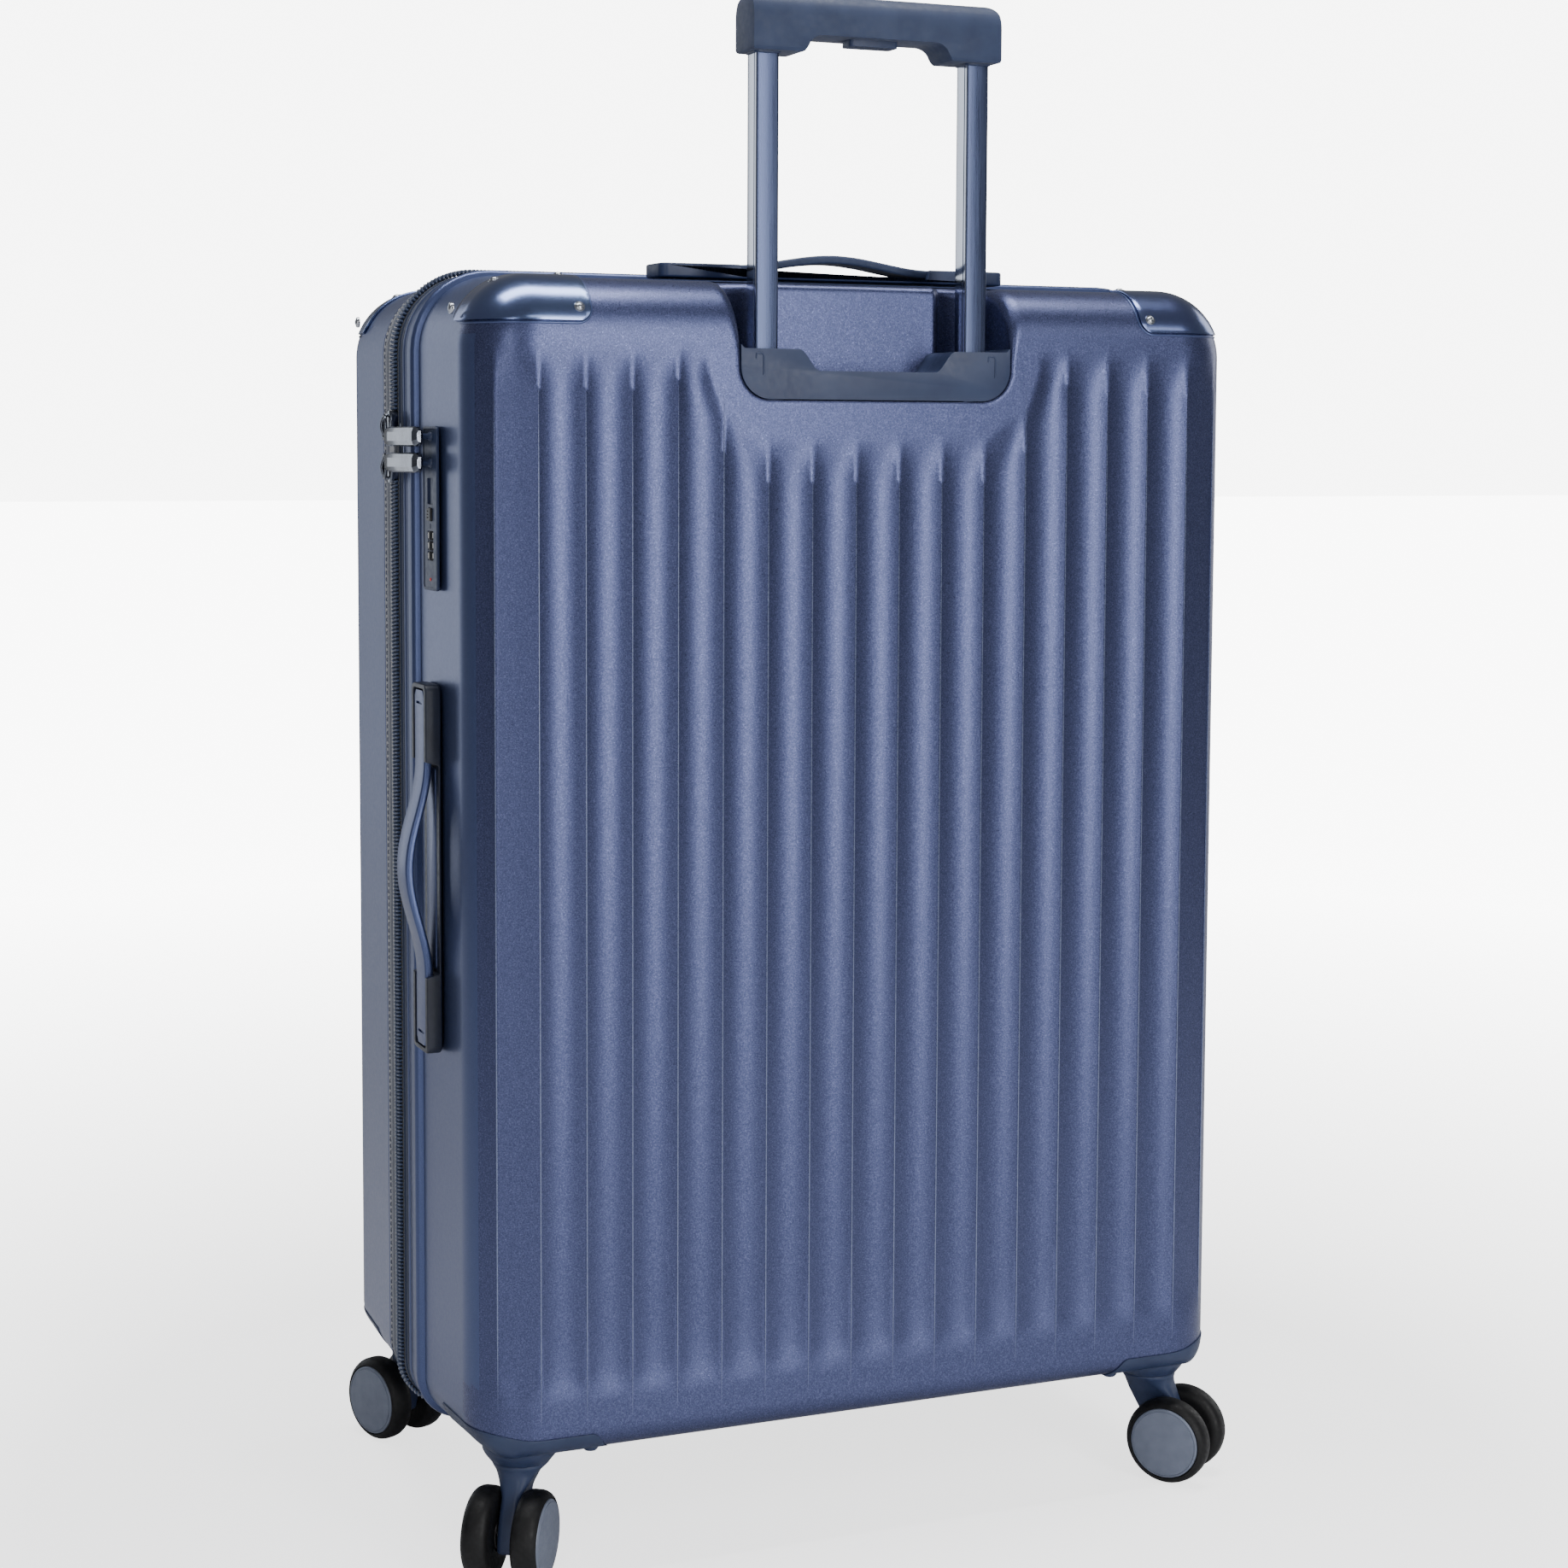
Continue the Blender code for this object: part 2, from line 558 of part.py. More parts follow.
def build_cup():
    """Moulded cup in the recess, with a socket block for each leg and a finger trough between."""
    half, low, r = 0.0887, 0.6998, 0.0190
    trough, dip, bend = 0.0475, 0.7168, 0.0045
    points = []
    for sx, start in ((-1, 180), (1, 270)):
        for step in range(5):
            angle = math.radians(start + 90 * step / 4)
            points.append((sx * (half - r) + r * math.cos(angle), low + r + r * math.sin(angle)))
    points += [(half, CUP_HIGH), (trough + bend, CUP_HIGH), (trough + 0.001, CUP_HIGH - bend),
               (trough - 0.003, dip + 0.002), (trough - 0.008, dip), (-trough + 0.008, dip),
               (-trough + 0.003, dip + 0.002), (-trough - 0.001, CUP_HIGH - bend),
               (-trough - bend, CUP_HIGH), (-half, CUP_HIGH)]
    cup = add_piece("trolley_cup", prism(points, RECESS_BACK_Y + GAP, BACK_Y - 0.0006, "y"), PLASTIC_LOOK)
    well = block((-trough + 0.008, RECESS_BACK_Y + 0.0030, low + 0.0035),
                 (trough - 0.008, BACK_Y - 0.0040, 0.75))
    legs = []
    for sx in (1, -1):
        legs.append(prism(at_leg(tube_section(OUTER_TUBE, GAP), sx), low - 0.01, OUTER_TUBE_HIGH + GAP))
        legs.append(prism(at_leg(tube_section(MID_TUBE, GAP), sx), OUTER_TUBE_HIGH - 0.002, 0.75))
    combine(cup, well)
    combine(cup, merged(*legs[0::2]))
    combine(cup, merged(*legs[1::2]))


def build_grip():
    """Arched bar with two legs, rounded on top, with the release button in its underside."""
    arch = 0.0470
    points = [(GRIP_HALF_W - 0.001, GRIP_LOW), (GRIP_HALF_W, GRIP_LOW + 0.001),
              (GRIP_HALF_W, GRIP_HIGH - 0.008), (GRIP_HALF_W - 0.0025, GRIP_HIGH - 0.0025),
              (GRIP_HALF_W - 0.008, GRIP_HIGH)]
    mirrored = [(-a, b) for a, b in reversed(points)]
    under = [(-arch - 0.002, GRIP_LOW), (-arch + 0.003, GRIP_ARCH - 0.004), (-arch + 0.009, GRIP_ARCH),
             (arch - 0.009, GRIP_ARCH), (arch - 0.003, GRIP_ARCH - 0.004), (arch + 0.002, GRIP_LOW)]
    outline_points = points + mirrored + under
    grip = add_piece("trolley_grip", prism(outline_points, GRIP_Y0, GRIP_Y1, "y"), PLASTIC_LOOK,
                     (0.0, TUBE_Y, GRIP_LOW))
    middle = (GRIP_Y0 + GRIP_Y1) / 2
    half_y = (GRIP_Y1 - GRIP_Y0) / 2
    section = [(middle - half_y, GRIP_LOW - 0.01), (middle + half_y, GRIP_LOW - 0.01)]
    for step in range(7):
        angle = math.radians(180 * step / 6)
        section.append((middle + half_y * math.cos(angle), GRIP_HIGH - 0.014 + 0.014 * math.sin(angle)))
    combine(grip, prism(section, -0.1, 0.1, "x"), "INTERSECT")
    sockets = [prism(at_leg(tube_section(INNER_TUBE, GAP), sx), GRIP_LOW - 0.01, GRIP_LOW + 0.0163)
               for sx in (1, -1)]
    pocket = block((-0.0160, TUBE_Y - 0.0070, GRIP_ARCH - 0.01), (0.0160, TUBE_Y + 0.0070, 0.9265))
    combine(grip, merged(pocket, *sockets))
    button = add_piece("grip_button",
                       block((-0.0157, TUBE_Y - 0.0067, GRIP_ARCH - 0.0040),
                             (0.0157, TUBE_Y + 0.0067, GRIP_ARCH + 0.0070)),
                       PLASTIC_LOOK, (0.0, TUBE_Y, GRIP_ARCH))
    soften(button, 0.0008)


# ---- lock and handles -----------------------------------------------------------------------
def side_x(y):
    """Half width of the back shell's flat side at depth y."""
    start = BACK_Y - EDGE_R
    return FACE_HALF_W + DRAFT * (start - y) / (start - BACK_RIM_Y)


def build_lock():
    middle_y = (LOCK_Y0 + LOCK_Y1) / 2
    middle_z = (LOCK_LOW + LOCK_HIGH) / 2
    base = side_x(LOCK_Y0) + GAP
    face = base + 0.0018
    plate = add_piece("lock_plate",
                      prism(rectangle(0.0150, (LOCK_HIGH - LOCK_LOW) / 2, (middle_y, middle_z), 0.003, 2),
                            base, face, "x"), PLASTIC_LOOK)
    case = block((0.2370, LOCK_Y0 + 0.0040, LOCK_LOW + 0.0040),
                 (base + 0.0005, LOCK_Y1 - 0.0040, LOCK_HIGH - 0.0340))
    combine(plate, case, "UNION")
    dial_x = face - DIAL_R + 0.0008
    low, high = DIAL_HEIGHTS[0] - 0.0030, DIAL_HEIGHTS[-1] + 0.0030
    slot = block((dial_x - DIAL_R - 0.0005, middle_y - DIAL_R - 0.0005, low),
                 (face + 0.01, middle_y + DIAL_R + 0.0005, high))
    window = block((face - 0.0060, middle_y - 0.0042, 0.6270), (face + 0.01, middle_y + 0.0042, 0.6350))
    combine(plate, merged(slot, window))
    for number, z in enumerate(DIAL_HEIGHTS):
        disc = turned([(0.0, -0.0026), (DIAL_R - 0.0005, -0.0026), (DIAL_R, -0.0020),
                       (DIAL_R, 0.0020), (DIAL_R - 0.0005, 0.0026), (0.0, 0.0026)], 20)
        add_piece("lock_dial_%d" % (number + 1), moved(disc, Matrix.Translation((dial_x, middle_y, z))),
                  RUBBER_LOOK, (dial_x, middle_y, z))
    button = block((face - 0.0045, middle_y - 0.0039, 0.6273), (face + 0.0010, middle_y + 0.0039, 0.6347))
    soften(add_piece("lock_button", button, RUBBER_LOOK, (face, middle_y, 0.6310)), 0.0004)


def arched_strap(half_length, rise, thickness, end_flat, steps=8):
    """Side view of a bowed strap: flat ends and a smooth bow between them, as closed points."""
    upper, lower = [], []
    for step in range(steps + 1):
        along = -half_length + end_flat + 2 * (half_length - end_flat) * step / steps
        share = 0.5 + 0.5 * math.cos(math.pi * along / (half_length - end_flat))
        upper.append((along, thickness + rise * share))
        lower.append((along, rise * share))
    top = [(-half_length, thickness)] + upper + [(half_length, thickness)]
    bottom = [(half_length, 0.0)] + list(reversed(lower)) + [(-half_length, 0.0)]
    return top + bottom


def build_side_handle():
    middle_y, low, high = 0.073, 0.3100, 0.5310
    middle_z = (low + high) / 2
    base_x = side_x(middle_y - 0.0160) + GAP
    base = add_piece("side_handle_base",
                     block((base_x, middle_y - 0.0160, low), (base_x + 0.0095, middle_y + 0.0160, high)),
                     PLASTIC_LOOK)
    hollow = block((base_x + 0.0016, middle_y - 0.02, low + 0.0480),
                   (base_x + 0.02, middle_y + 0.02, high - 0.0480))
    combine(base, hollow)
    channel = block((base_x + 0.0035, middle_y - 0.0112, low + 0.0030),
                    (base_x + 0.02, middle_y + 0.0112, high - 0.0030))
    combine(base, channel)
    shape = arched_strap((high - low) / 2 - 0.0040, 0.0115, 0.0050, 0.0420)
    strap_x = base_x + 0.0040
    rings = [[(strap_x + out, y, middle_z + along) for along, out in shape]
             for y in (middle_y - 0.0108, middle_y + 0.0108)]
    strap = add_piece("side_handle_strap", loft(rings), RUBBER_LOOK, (strap_x, middle_y, middle_z))
    soften(strap, 0.0010)


TOP_HANDLE_Y = 0.072


def build_top_handle():
    half, base_z = 0.1160, BODY_HIGH + DRAFT + GAP
    base = add_piece("top_handle_base",
                     block((-half, TOP_HANDLE_Y - 0.0150, base_z),
                           (half, TOP_HANDLE_Y + 0.0150, base_z + 0.0085)), PLASTIC_LOOK)
    hollow = block((-half + 0.0540, TOP_HANDLE_Y - 0.02, base_z + 0.0014),
                   (half - 0.0540, TOP_HANDLE_Y + 0.02, base_z + 0.02))
    combine(base, hollow)
    channel = block((-half + 0.0030, TOP_HANDLE_Y - 0.0112, base_z + 0.0030),
                    (half - 0.0030, TOP_HANDLE_Y + 0.0112, base_z + 0.02))
    combine(base, channel)
    shape = arched_strap(half - 0.0040, 0.0075, 0.0050, 0.0440)
    strap_z = base_z + 0.0034
    rings = [[(along, y, strap_z + out) for along, out in shape]
             for y in (TOP_HANDLE_Y - 0.0108, TOP_HANDLE_Y + 0.0108)]
    strap = add_piece("top_handle_strap", loft(rings), RUBBER_LOOK, (0.0, TOP_HANDLE_Y, strap_z))
    soften(strap, 0.0010)


# ---- inside ---------------------------------------------------------------------------------
LINING_SHARPER = 0.0060          # the lining is pushed this much further into the corners


def tray(side, rim_y, floor_y, offset, thickness=0.0012):
    """Open lining tray that follows the body's outline."""
    levels = ((0.0, rim_y), (0.0, floor_y - side * 0.022), (-0.010, floor_y - side * 0.006),
              (-0.018, floor_y))
    rings = [outline(offset + grow, y, LINING_SHARPER) for grow, y in levels]
    inner = [outline(offset + grow - thickness, y - side * (thickness if y == floor_y else 0.0),
                     LINING_SHARPER) for grow, y in levels]
    bm = bmesh.new()
    skins = []
    for group in (rings, inner):
        made = [[bm.verts.new(p) for p in ring] for ring in group]
        for ring_a, ring_b in zip(made, made[1:]):
            bridge(bm, ring_a, ring_b)
        bm.faces.new(made[-1])
        skins.append(made[0])
    bridge(bm, skins[0], skins[1])
    return bm


def build_inside():
    back = add_piece("back_lining", tray(1, 0.0140, 0.1080, -0.0065), LINING_LOOK)
    combine(back, merged(*[housing_pocket(sx, 1, WALL + 0.0020) for sx in (1, -1)]))
    combine(back, block((0.2300, 0.0550, 0.5830), (0.2700, 0.0910, 0.6560)))
    front = add_piece("front_lining", tray(-1, -0.0020, -0.1360, -0.0065), LINING_LOOK, hinge_origin())
    combine(front, merged(*[housing_pocket(sx, -1, WALL + 0.0020) for sx in (1, -1)]))
    panel = [outline(-0.0092, y) for y in (-0.0060, -0.0035)]
    add_piece("divider_panel", loft(panel), LINING_LOOK, hinge_origin())
    build_packing_straps()


def build_packing_straps():
    """Two crossed webbing straps over the back half, with a clip where they meet."""
    y0, y1 = 0.0180, 0.0195
    strap = add_piece("packing_straps", crossed_bar(0.2420, 0.2000, y0, y1, 1), FABRIC_LOOK)
    combine(strap, crossed_bar(0.2420, 0.2000, y0, y1, -1), "UNION")
    clip = block((-0.030, y0 - 0.0075, 0.4010), (0.030, y0 - GAP, 0.4450))
    soften(add_piece("strap_clip", clip, PLASTIC_LOOK), 0.002)


def crossed_bar(half_w, half_h, y0, y1, sign):
    middle, half = (BODY_LOW + BODY_HIGH) / 2, 0.0130
    points = [(-half_w, middle - sign * half_h - half), (half_w, middle + sign * half_h - half),
              (half_w, middle + sign * half_h + half), (-half_w, middle - sign * half_h + half)]
    return prism(points, y0, y1, "y")


def main():
    clear_scene()
    build_back_shell()
    build_front_shell()
    for depth, side in (("back", 1), ("front", -1)):
        for edge, sx in (("lock", 1), ("hinge", -1)):
            build_guard("%s_%s" % (depth, edge), sx, side)
    build_zip()
    build_zip_pulls()
    build_tubes()
    build_base_bracket()
    build_cup()
    build_grip()
    build_lock()
    build_side_handle()
    build_top_handle()
    build_inside()
    for tag in CASTER_TURNS:
        build_caster(tag)


main()
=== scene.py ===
"""Looks of the hard-shell spinner suitcase: fluted shells, riveted guards, zip, lock, trolley and casters."""

import json
import math

import bmesh
import bpy
import numpy as np
from mathutils import Matrix, Vector


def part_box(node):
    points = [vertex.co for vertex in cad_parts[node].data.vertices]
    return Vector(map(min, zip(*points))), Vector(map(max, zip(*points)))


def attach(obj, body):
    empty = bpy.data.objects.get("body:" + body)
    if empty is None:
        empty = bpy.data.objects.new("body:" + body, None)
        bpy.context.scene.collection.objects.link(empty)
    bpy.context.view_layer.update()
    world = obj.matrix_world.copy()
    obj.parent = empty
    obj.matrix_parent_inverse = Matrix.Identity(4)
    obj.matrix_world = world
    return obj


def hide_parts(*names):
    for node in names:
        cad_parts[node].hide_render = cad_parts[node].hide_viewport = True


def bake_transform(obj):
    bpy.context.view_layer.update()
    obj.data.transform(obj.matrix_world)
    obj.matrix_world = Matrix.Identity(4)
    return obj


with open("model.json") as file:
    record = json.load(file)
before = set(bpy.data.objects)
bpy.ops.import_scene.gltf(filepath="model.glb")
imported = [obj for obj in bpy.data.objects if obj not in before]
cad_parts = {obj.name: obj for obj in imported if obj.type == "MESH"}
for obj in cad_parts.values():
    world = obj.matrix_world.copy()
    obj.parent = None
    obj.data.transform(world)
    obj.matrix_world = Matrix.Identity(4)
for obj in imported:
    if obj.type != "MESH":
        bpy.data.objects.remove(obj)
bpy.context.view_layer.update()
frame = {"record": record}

# ---- dimensions taken from the frame --------------------------------------------------------
DRAFT = 0.0035
EDGE_R = 0.037
FOOT_R = 0.014
CORNER_R = 0.042
FOOT_CORNER_R = 0.024
PITCH = 0.0285
back_low, back_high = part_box("back_shell")
front_low, front_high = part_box("front_shell")
HALF_W = back_high.x - DRAFT
LOW_Z = back_low.z + DRAFT
HIGH_Z = back_high.z - DRAFT
MID_Z = (LOW_Z + HIGH_Z) / 2
HALF_H = (HIGH_Z - LOW_Z) / 2
BACK_Y, BACK_RIM = back_high.y, back_low.y
FRONT_Y, FRONT_RIM = front_low.y, front_high.y
FLAT_X = HALF_W - EDGE_R
ZIP_Y = 0.005


# ---- mesh helpers ---------------------------------------------------------------------------
def new_piece(name, bm, look, smooth=True, sharp=35.0):
    """Links a bmesh as an object with one material."""
    mesh = bpy.data.meshes.new(name)
    bm.to_mesh(mesh)
    bm.free()
    if look:
        mesh.materials.append(look)
    if smooth:
        mesh.shade_smooth()
        mesh.set_sharp_from_angle(angle=math.radians(sharp))
    obj = bpy.data.objects.new(name, mesh)
    bpy.context.scene.collection.objects.link(obj)
    return obj


def apply_modifiers(obj, sharp=35.0):
    """Bakes the modifiers into the object's own mesh."""
    graph = bpy.context.evaluated_depsgraph_get()
    mesh = bpy.data.meshes.new_from_object(obj.evaluated_get(graph))
    obj.modifiers.clear()
    obj.data = mesh
    mesh.shade_smooth()
    mesh.set_sharp_from_angle(angle=math.radians(sharp))
    return obj


def carve(obj, bm, operation="DIFFERENCE"):
    """Cuts, joins or clips obj with the closed solid in bm, whose faces get material index 1."""
    bmesh.ops.recalc_face_normals(bm, faces=bm.faces[:])
    for face in bm.faces:
        face.material_index = 1
    mesh = bpy.data.meshes.new("tool")
    bm.to_mesh(mesh)
    bm.free()
    tool = bpy.data.objects.new("tool", mesh)
    bpy.context.scene.collection.objects.link(tool)
    step = obj.modifiers.new("carve", "BOOLEAN")
    step.operation = operation
    step.object = tool
    step.solver = "EXACT"
    bpy.context.view_layer.update()
    apply_modifiers(obj)
    bpy.data.objects.remove(tool, do_unlink=True)
    return obj


def bevelled(obj, width, segments=2, angle=35.0, sharp=35.0):
    step = obj.modifiers.new("bevel", "BEVEL")
    step.width = width
    step.segments = segments
    step.limit_method = "ANGLE"
    step.angle_limit = math.radians(angle)
    step.harden_normals = False
    return apply_modifiers(obj, sharp)


def bridge(bm, a, b, closed=True):
    count = len(a)
    last = count if closed else count - 1
    return [bm.faces.new((a[i], a[(i + 1) % count], b[(i + 1) % count], b[i])) for i in range(last)]


def loft(rings, caps=True, closed=True):
    bm = bmesh.new()
    made = [[bm.verts.new(p) for p in ring] for ring in rings]
    for a, b in zip(made, made[1:]):
        bridge(bm, a, b, closed)
    if caps:
        bm.faces.new(made[0])
        bm.faces.new(made[-1])
    bmesh.ops.recalc_face_normals(bm, faces=bm.faces[:])
    return bm


AXES = {
    "x": lambda a, b, h: (h, a, b),
    "y": lambda a, b, h: (a, h, b),
    "z": lambda a, b, h: (a, b, h),
}


def prism(points, low, high, axis="z"):
    place = AXES[axis]
    return loft([[place(a, b, h) for a, b in points] for h in (low, high)])


def block(low, high):
    return prism([(low[0], low[1]), (high[0], low[1]), (high[0], high[1]), (low[0], high[1])], low[2],
                 high[2])


def rounded(half_a, half_b, centre=(0.0, 0.0), radius=0.002, steps=4):
    a0, b0 = centre
    points = []
    for corner, (sa, sb) in enumerate(((1, -1), (1, 1), (-1, 1), (-1, -1))):
        for step in range(steps + 1):
            angle = math.radians(-90 + 90 * corner + 90 * step / steps)
            points.append((a0 + sa * (half_a - radius) + radius * math.cos(angle),
                           b0 + sb * (half_b - radius) + radius * math.sin(angle)))
    return points


def turned(profile, steps=48):
    """Revolves (radius, height) points about Z. Poles close the ends that have radius 0."""
    bm = bmesh.new()
    rings = []
    for radius, height in profile:
        if radius == 0.0:
            rings.append(bm.verts.new((0.0, 0.0, height)))
        else:
            rings.append([bm.verts.new((radius * math.cos(2 * math.pi * i / steps),
                                        radius * math.sin(2 * math.pi * i / steps), height))
                          for i in range(steps)])
    for a, b in zip(rings, rings[1:]):
        if isinstance(a, list) and isinstance(b, list):
            bridge(bm, a, b)
        else:
            pole, ring = (a, b) if isinstance(b, list) else (b, a)
            for i in range(steps):
                bm.faces.new((pole, ring[i], ring[(i + 1) % steps]))
    bmesh.ops.recalc_face_normals(bm, faces=bm.faces[:])
    return bm


def grid_border(rows, cols):
    """Row and column of each point right round the edge of a grid."""
    loop = [(0, j) for j in range(cols)] + [(i, cols - 1) for i in range(1, rows)]
    loop += [(rows - 1, j) for j in range(cols - 2, -1, -1)]
    return loop + [(i, 0) for i in range(rows - 2, 0, -1)]


def moved(bm, matrix):
    bm.transform(matrix)
    return bm


def merged(*solids):
    out = bmesh.new()
    for solid in solids:
        mesh = bpy.data.meshes.new("piece")
        solid.to_mesh(mesh)
        solid.free()
        out.from_mesh(mesh)
        bpy.data.meshes.remove(mesh)
    return out


def aim(direction, roll=0.0):
    """Rotation that turns +Z onto a direction."""
    turn = Vector(direction).normalized().to_track_quat("Z", "Y").to_matrix().to_4x4()
    return turn @ Matrix.Rotation(roll, 4, "Z")


def smooth(value):
    value = np.clip(value, 0.0, 1.0)
    return value * value * (3 - 2 * value)


# ---- materials ------------------------------------------------------------------------------
class Look:
    """A Principled material with its node helpers. All patterns use object coordinates in metres."""

    def __init__(self, name, colour, rough, metal=0.0, spec=0.5, coat=0.0, coat_rough=0.1, sheen=0.0):
        self.mat = bpy.data.materials.new(name)
        self.mat.use_nodes = True
        self.tree = self.mat.node_tree
        self.shader = self.tree.nodes["Principled BSDF"]
        self.set("Base Color", (*colour, 1.0))
        self.set("Roughness", rough)
        self.set("Metallic", metal)
        self.set("Specular IOR Level", spec)
        self.set("Coat Weight", coat)
        self.set("Coat Roughness", coat_rough)
        self.set("Sheen Weight", sheen)
        self.coords = self.node("ShaderNodeTexCoord").outputs["Object"]
        self.bump_out = None

    def set(self, socket, value):
        self.shader.inputs[socket].default_value = value

    def node(self, kind, **settings):
        made = self.tree.nodes.new(kind)
        for key, value in settings.items():
            setattr(made, key, value)
        return made

    def link(self, a, b):
        self.tree.links.new(a, b)

    def noise(self, scale, detail=2.0, rough=0.5, stretch=None):
        made = self.node("ShaderNodeTexNoise")
        made.inputs["Scale"].default_value = scale
        made.inputs["Detail"].default_value = detail
        made.inputs["Roughness"].default_value = rough
        self.link(self.stretched(stretch), made.inputs["Vector"])
        return made.outputs["Fac"]

    def stretched(self, stretch):
        if not stretch:
            return self.coords
        mapping = self.node("ShaderNodeMapping")
        mapping.inputs["Scale"].default_value = stretch
        self.link(self.coords, mapping.inputs["Vector"])
        return mapping.outputs["Vector"]

    def cells(self, scale, feature="F1"):
        made = self.node("ShaderNodeTexVoronoi", feature=feature)
        made.inputs["Scale"].default_value = scale
        self.link(self.coords, made.inputs["Vector"])
        return made

    def wave(self, scale, direction, distortion=0.0, profile="SIN"):
        made = self.node("ShaderNodeTexWave", wave_type="BANDS", bands_direction=direction,
                         wave_profile=profile)
        made.inputs["Scale"].default_value = scale
        made.inputs["Distortion"].default_value = distortion
        self.link(self.coords, made.inputs["Vector"])
        return made.outputs["Fac"]

    def ramp(self, factor, stops):
        made = self.node("ShaderNodeValToRGB")
        ramp = made.color_ramp
        ramp.elements[0].position, ramp.elements[1].position = stops[0][0], stops[-1][0]
        for position, _ in stops[1:-1]:
            ramp.elements.new(position)
        for element, (_, colour) in zip(ramp.elements, stops):
            element.color = (*colour, 1.0) if isinstance(colour, tuple) else (colour, colour, colour, 1.0)
        self.link(factor, made.inputs["Fac"])
        return made.outputs["Color"]

    def math(self, operation, a, b):
        made = self.node("ShaderNodeMath", operation=operation)
        for socket, value in zip(made.inputs, (a, b)):
            if isinstance(value, (int, float)):
                socket.default_value = value
            else:
                self.link(value, socket)
        return made.outputs["Value"]

    def colour_by(self, factor, stops):
        self.link(self.ramp(factor, stops), self.shader.inputs["Base Color"])
        return self

    def rough_by(self, factor, low, high, start=0.3, end=0.7):
        made = self.node("ShaderNodeMapRange")
        for key, value in (("From Min", start), ("From Max", end), ("To Min", low), ("To Max", high)):
            made.inputs[key].default_value = value
        self.link(factor, made.inputs["Value"])
        self.link(made.outputs["Result"], self.shader.inputs["Roughness"])
        return self

    def bump(self, height, strength, distance):
        made = self.node("ShaderNodeBump")
        made.inputs["Strength"].default_value = strength
        made.inputs["Distance"].default_value = distance
        self.link(height, made.inputs["Height"])
        if self.bump_out:
            self.link(self.bump_out, made.inputs["Normal"])
        self.bump_out = made.outputs["Normal"]
        self.link(self.bump_out, self.shader.inputs["Normal"])
        return self


